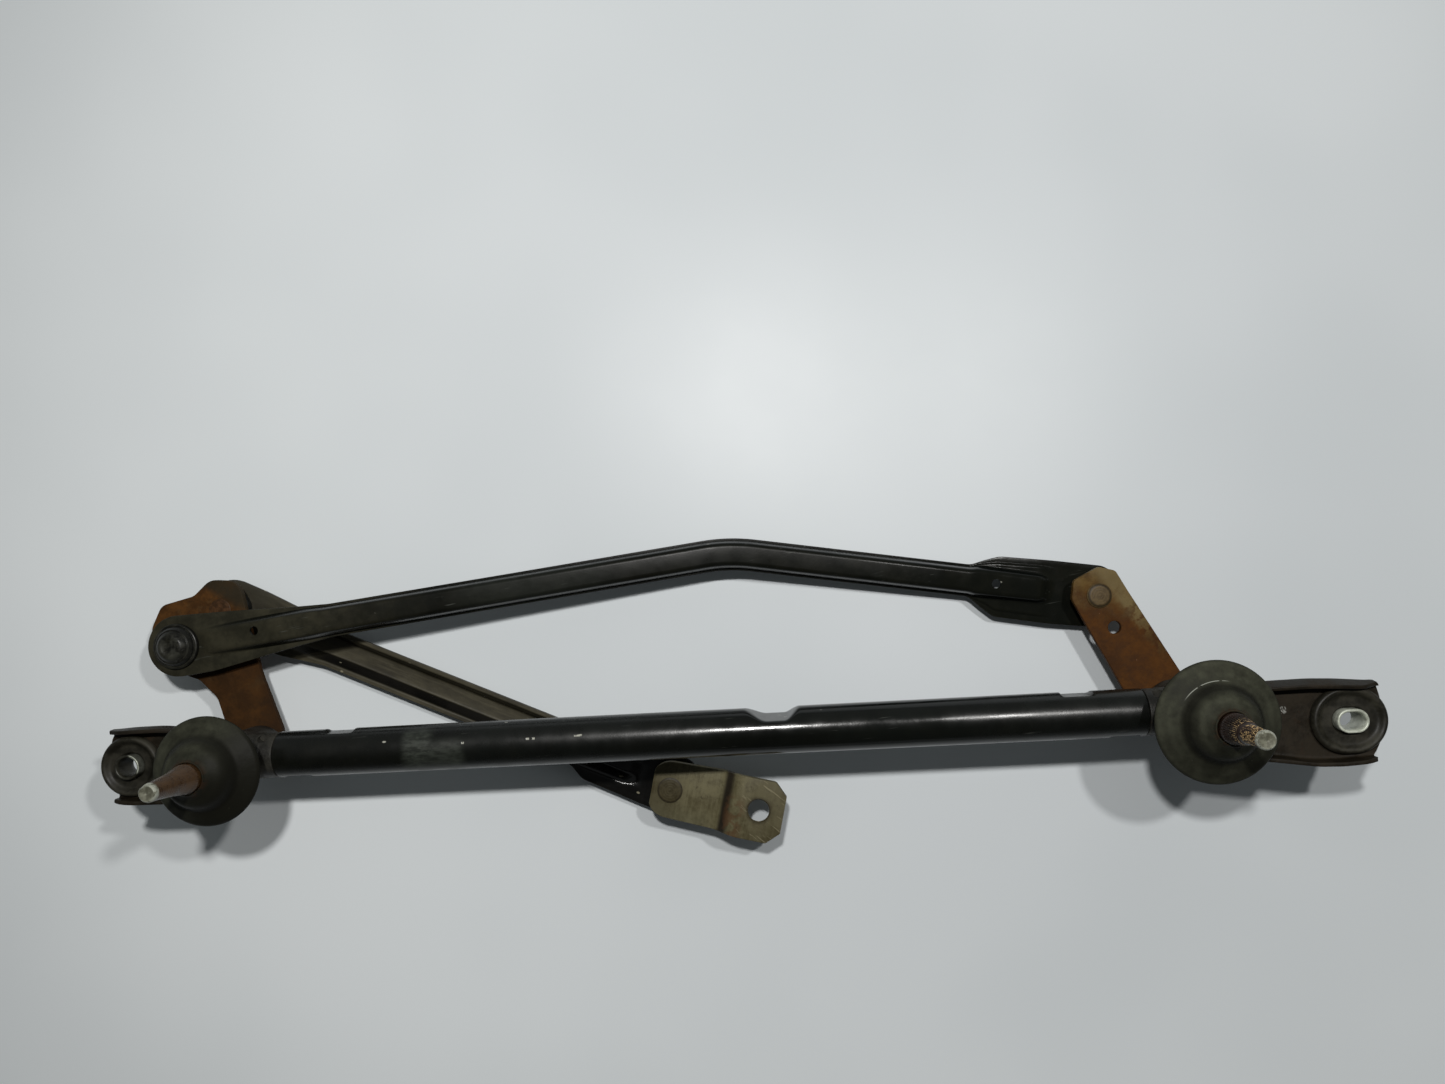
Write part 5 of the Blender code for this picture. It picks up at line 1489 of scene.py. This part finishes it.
def set_stage():
    """Pale floor, soft sky that is brighter behind the assembly, two lamps, and the camera above."""
    scene = bpy.context.scene
    scene.view_settings.view_transform = "Standard"
    bpy.ops.mesh.primitive_plane_add(size=FLOOR_WIDTH, location=(0, 0, 0))
    floor = bpy.context.object
    floor.name = "floor"
    f = Finish("pale_floor", specular=0.35, place=(ORIGIN.x / MM, ORIGIN.y / MM))
    cloud = f.cloud(240, 0.35, 0.65, detail=2)
    near = f.mix(cloud, (0.566, 0.602, 0.624), (0.598, 0.632, 0.655))
    far = f.mix(cloud, (0.800, 0.842, 0.862), (0.835, 0.876, 0.895))
    colour = f.mix(f.ramp(f.radius(360.0, 130.0), 120.0, 500.0), near, far)
    floor.data.materials.append(f.done(colour, f.scale(f.noise(60), 0.38, 0.46)))

    world = bpy.data.worlds.new("sky")
    world.use_nodes = True
    scene.world = world
    tree = world.node_tree
    where = tree.nodes.new("ShaderNodeTexCoord")
    parts = tree.nodes.new("ShaderNodeSeparateXYZ")
    fade = tree.nodes.new("ShaderNodeValToRGB")
    for stop, (position, colour) in zip(fade.color_ramp.elements, (SKY_FRONT, SKY_REAR)):
        stop.position = position
        stop.color = colour
    horizon = tree.nodes.new("ShaderNodeMapRange")
    horizon.interpolation_type = "SMOOTHSTEP"
    horizon.inputs["From Min"].default_value, horizon.inputs["From Max"].default_value = HORIZON_HEIGHT
    horizon.inputs["To Min"].default_value = 1.0
    horizon.inputs["To Max"].default_value = 0.0
    sky = tree.nodes.new("ShaderNodeMix")
    sky.data_type = "RGBA"
    sky.blend_type = "LIGHTEN"
    sky.inputs[7].default_value = HORIZON_GREY
    shift = tree.nodes.new("ShaderNodeMath")
    shift.operation = "MULTIPLY_ADD"
    shift.inputs[1].default_value = 0.5
    shift.inputs[2].default_value = 0.5
    for output, socket in (
        (where.outputs["Generated"], parts.inputs[0]),
        (parts.outputs[1], shift.inputs[0]),
        (shift.outputs[0], fade.inputs[0]),
        (parts.outputs[2], horizon.inputs["Value"]),
        (horizon.outputs["Result"], sky.inputs[0]),
        (fade.outputs[0], sky.inputs[6]),
        (sky.outputs[2], tree.nodes["Background"].inputs["Color"]),
    ):
        tree.links.new(output, socket)

    for place, power in LAMPS:
        lamp(place, power)

    camera = bpy.data.cameras.new("camera")
    camera.lens = CAMERA_LENS
    camera.sensor_width = SENSOR_WIDTH
    camera.clip_start = 0.01
    thing = add_object("camera", camera)
    thing.location = ORIGIN + Vector(CAMERA_PLACE) * MM
    thing.rotation_euler = [math.radians(angle) for angle in CAMERA_TILT]
    scene.camera = thing


# ---------------------------------------------------------------- assembly

def main():
    set_stage()
    tube_scuffs = (
        ((88, None, 56), (101, None, None), 3.0, 0.42),
        ((92, None, 48), (116, 6, None), 3.0, 0.34),
    )
    tube_nicks = ((116.6, 5.0, 1.2), (147.6, 5.4, 1.4), (150.4, 5.4, 1.2), (171.5, 5.8, 3.6))
    frame_tube(gloss_black("tube_paint", 0.40, 0.10, 0.05, (250.0, 330.0), tube_scuffs, tube_nicks))
    cast = cast_metal("cast_housing")
    bronze = sintered_bronze("sintered_bronze")
    ring = ring_steel("ring_steel")
    # bright and shade set each cap's painted light and shade, and scratched the strength of its painted
    # highlight arc.
    for side, pivot, toward, cap_r, bright, shade, scratched in (
        ("left", LEFT_PIVOT, 1, LEFT_CAP_R, (-0.8, 0.6), 0.04, 0.0),
        ("right", RIGHT_PIVOT, -1, RIGHT_CAP_R, (-0.1, 1.0), 0.45, 0.8),
    ):
        pivot_housing(side, pivot, toward, cast)
        bushes(side, pivot, bronze)
        rubber = old_rubber(side + "_cap_rubber", pivot, 17.2, bright, shade, scratched)
        pivot_cap(side, pivot, cap_r, rubber)
        washers(side, pivot, ring)

    # distance from the pivot, lower edge, upper edge, web top, flange height
    left_stations = [
        (-13.0, -15.0, 15.0, RING_WEB_TOP, 3.0), (14.0, -16.0, 16.5, RING_WEB_TOP, 3.0),
        (21.0, -17.0, 19.0, WEB_TOP, 8.0), (30.0, -17.0, 20.0, WEB_TOP, 8.5),
        (44.0, -16.8, 20.0, WEB_TOP, 8.5),
        (51.0, -16.4, 19.6, WEB_TOP, 7.6), (56.0, -15.8, 19.3, WEB_TOP, 4.6),
        (66.0, -14.6, 18.6, WEB_TOP, 4.0),
    ]
    # distance, place across, corner radius, along the ear's free end
    left_end = [
        (55.8, 40.0, 1.0), (55.8, 17.0, 1.0), (57.3, 14.0, 1.5), (58.5, 9.0, 1.5),
        (61.0, 6.0, 2.0), (62.2, 1.5, 2.0),
        (61.4, -3.0, 2.0), (58.6, -8.0, 2.0), (55.6, -11.0, 1.5), (54.6, -14.0, 1.0),
        (54.6, -40.0, 1.0),
    ]
    right_stations = [
        (-13.0, -16.0, 15.0, RING_WEB_TOP, 3.0), (14.0, -18.5, 14.6, RING_WEB_TOP, 3.0),
        (21.0, -20.5, 14.8, WEB_TOP, 8.0), (32.0, -22.0, 15.2, WEB_TOP, 8.5),
        (48.0, -24.4, 15.4, WEB_TOP, 8.5),
        (60.0, -24.8, 14.8, WEB_TOP, 8.5), (71.0, -24.2, 13.7, WEB_TOP, 8.0),
        (78.0, -23.8, 13.0, WEB_TOP, 4.0),
        (88.0, -23.2, 12.0, WEB_TOP, 3.6),
    ]
    right_end = [
        (77.0, 40.0, 1.0), (77.4, 12.6, 1.5), (79.4, 9.6, 0.8), (80.4, 5.6, 1.0), (81.0, 2.0, 1.5),
        (81.2, -4.0, 2.0), (81.0, -10.0, 2.0), (80.2, -13.0, 0.8), (79.6, -16.0, 1.0),
        (77.6, -20.0, 1.2),
        (75.6, -22.4, 0.6), (75.2, -40.0, 1.0),
    ]
    left_ear = ear_paint("left_ear_paint", LEFT_PIVOT)
    right_ear = ear_paint("right_ear_paint", RIGHT_PIVOT, (37.5, 0.6))
    mount_bracket("left", LEFT_PIVOT, -1, left_stations, 1.0, left_end, LEFT_EYE, left_ear)
    mount_bracket("right", RIGHT_PIVOT, 1, right_stations, 3.0, right_end, RIGHT_EYE, right_ear)
    for side, eye, lips, hole, tarnish in (
        ("left", LEFT_EYE, (30.0, 29.6), (9.4, 9.0), 1.0), ("right", RIGHT_EYE, (34.4, 31.0),
        (11.2, 7.8), 0.0),
    ):
        rubber = grey_rubber(side + "_grommet_rubber", eye)
        grommet(side, eye, lips, hole, rubber, sleeve_zinc(side + "_sleeve_zinc", eye, tarnish))

    left_steel = rusty_shaft(
        "left_shaft_steel", LEFT_PIVOT, (0.040, 0.0200, 0.0078), (0.066, 0.0340, 0.0125),
        TIP_Z - 2.2, TIP_Z, 0.1,
    )
    right_steel = rusty_shaft(
        "right_shaft_steel", RIGHT_PIVOT, (0.0090, 0.0042, 0.0024), (0.019, 0.0080, 0.0042),
        TIP_Z - 2.0, CONE_TOP - 6.0, 0.95,
    )
    # height, radius
    tip = [(TIP_Z - 0.9, THREAD_R), (TIP_Z - 0.2, THREAD_R - 0.5), (TIP_Z, THREAD_R - 0.7)]
    root = [(CONE_BOTTOM - 1.0, SHAFT_R), (CONE_BOTTOM, SHAFT_R)]
    worn = [*root, (CONE_TOP, 5.1), (TIP_Z - 6.0, 4.2), *tip]
    clean = [
        *root, (CONE_TOP, 5.0), (CONE_TOP + 0.6, 4.5), (THREAD_BOTTOM, 4.1),
        (THREAD_BOTTOM + 0.8, THREAD_R), *tip,
    ]
    hole_r = shaft("left", LEFT_PIVOT, worn, 0.05, 0.10, 1.0, left_steel)
    shaft("right", RIGHT_PIVOT, clean, 0.34, 0.42, 0.0, right_steel)

    stud_r = SHANK_R + GAP
    left_corners = [
        (13.0, -14.0, 12.0), (9.5, 10.3, 14.0), (-0.5, 40.0, 20.0), (-9.5, 87.5, 9.0),
        (-25.0, 89.0, 8.0),
        (-34.0, 81.0, 7.0), (-51.5, 77.0, 6.0), (-58.0, 64.0, 9.0), (-50.0, 44.0, 12.0),
        (-33.0, 37.5, 8.0),
        (-24.0, 28.0, 9.0), (-20.0, 14.0, 12.0), (-13.5, -14.0, 12.0),
    ]
    left_holes = [(0.0, 0.0, hole_r), (*LEFT_LINK_BALL, stud_r), (*LEFT_DRIVE_BALL, stud_r)]
    lever("left", LEFT_PIVOT, left_corners, left_holes, rusty_lever("left_lever_rust"))
    right_corners = [
        (13.0, -14.0, 12.0), (8.5, 12.0, 14.0), (-16.5, 57.0, 8.0), (-22.0, 67.5, 3.0),
        (-30.0, 69.8, 3.0),
        (-42.6, 63.6, 3.0), (-44.2, 54.4, 5.0), (-14.5, -6.5, 7.0), (-10.0, -14.0, 6.0),
    ]
    right_ball_reach = (RIGHT_LINK_BALL[0] - PIVOT_SPACING, RIGHT_LINK_BALL[1])
    right_holes = [(0.0, 0.0, hole_r), (*right_ball_reach, stud_r), (-24.2, 39.4, 3.2)]
    lever("right", RIGHT_PIVOT, right_corners, right_holes, gold_to_rust_lever("right_lever_plating"))

    gold = ((0.056, 0.036, 0.0135), (0.096, 0.065, 0.0260), 5.2, 0.7)
    olive = ((0.032, 0.0255, 0.0100), (0.050, 0.0405, 0.0175), 6.0, 0.6)
    rust = ((0.034, 0.0155, 0.0052), (0.082, 0.0350, 0.0105), 5.3, 0.1)
    for name, place, up, head_r, crown, tones in (
        ("left_link_stud", LEFT_LINK_BALL, 1, RIVET_R, 1.3, rust),
        ("left_drive_stud", LEFT_DRIVE_BALL, -1, RIVET_R, 0.6, rust),
        ("right_link_stud", RIGHT_LINK_BALL, -1, RIVET_R + 0.4, 1.3, gold),
        ("crank_stud", CRANK_BALL, -1, RIVET_R + 0.6, 0.7, olive),
    ):
        ball_stud(name, place, up, head_r, crown, rivet_plating(name + "_plating", place, *tones))

    seal_rubber = plain_rubber("seal_rubber")
    for name, place, ball_z, up, play in (
        ("long_link_left", LEFT_LINK_BALL, HIGH_BALL_Z, 1, 0.0),
        ("long_link_right", RIGHT_LINK_BALL, LOW_BALL_Z, -1, OPEN_PIVOT_PLAY),
        ("drive_link_lever", LEFT_DRIVE_BALL, LOW_BALL_Z, -1, 0.0),
        ("drive_link_crank", CRANK_BALL, LOW_BALL_Z, -1, 0.0),
    ):
        socket(name + "_socket", place, ball_z, up, play, socket_plastic(name + "_plastic", place))
        seal(name + "_seal", place, ball_z, up, play, seal_rubber)

    link_scuffs = (((110, 60, 34), (190, None, None), 16.0, 0.20),)
    paint = gloss_black("link_paint", 0.12, 0.95, 0.12, (360.0, 480.0), link_scuffs, scratch_turn=8.0)
    long_link(paint)
    drive_link(channel_paint("drive_link_paint"))
    motor_crank(olive_plating("crank_plating"))


main()
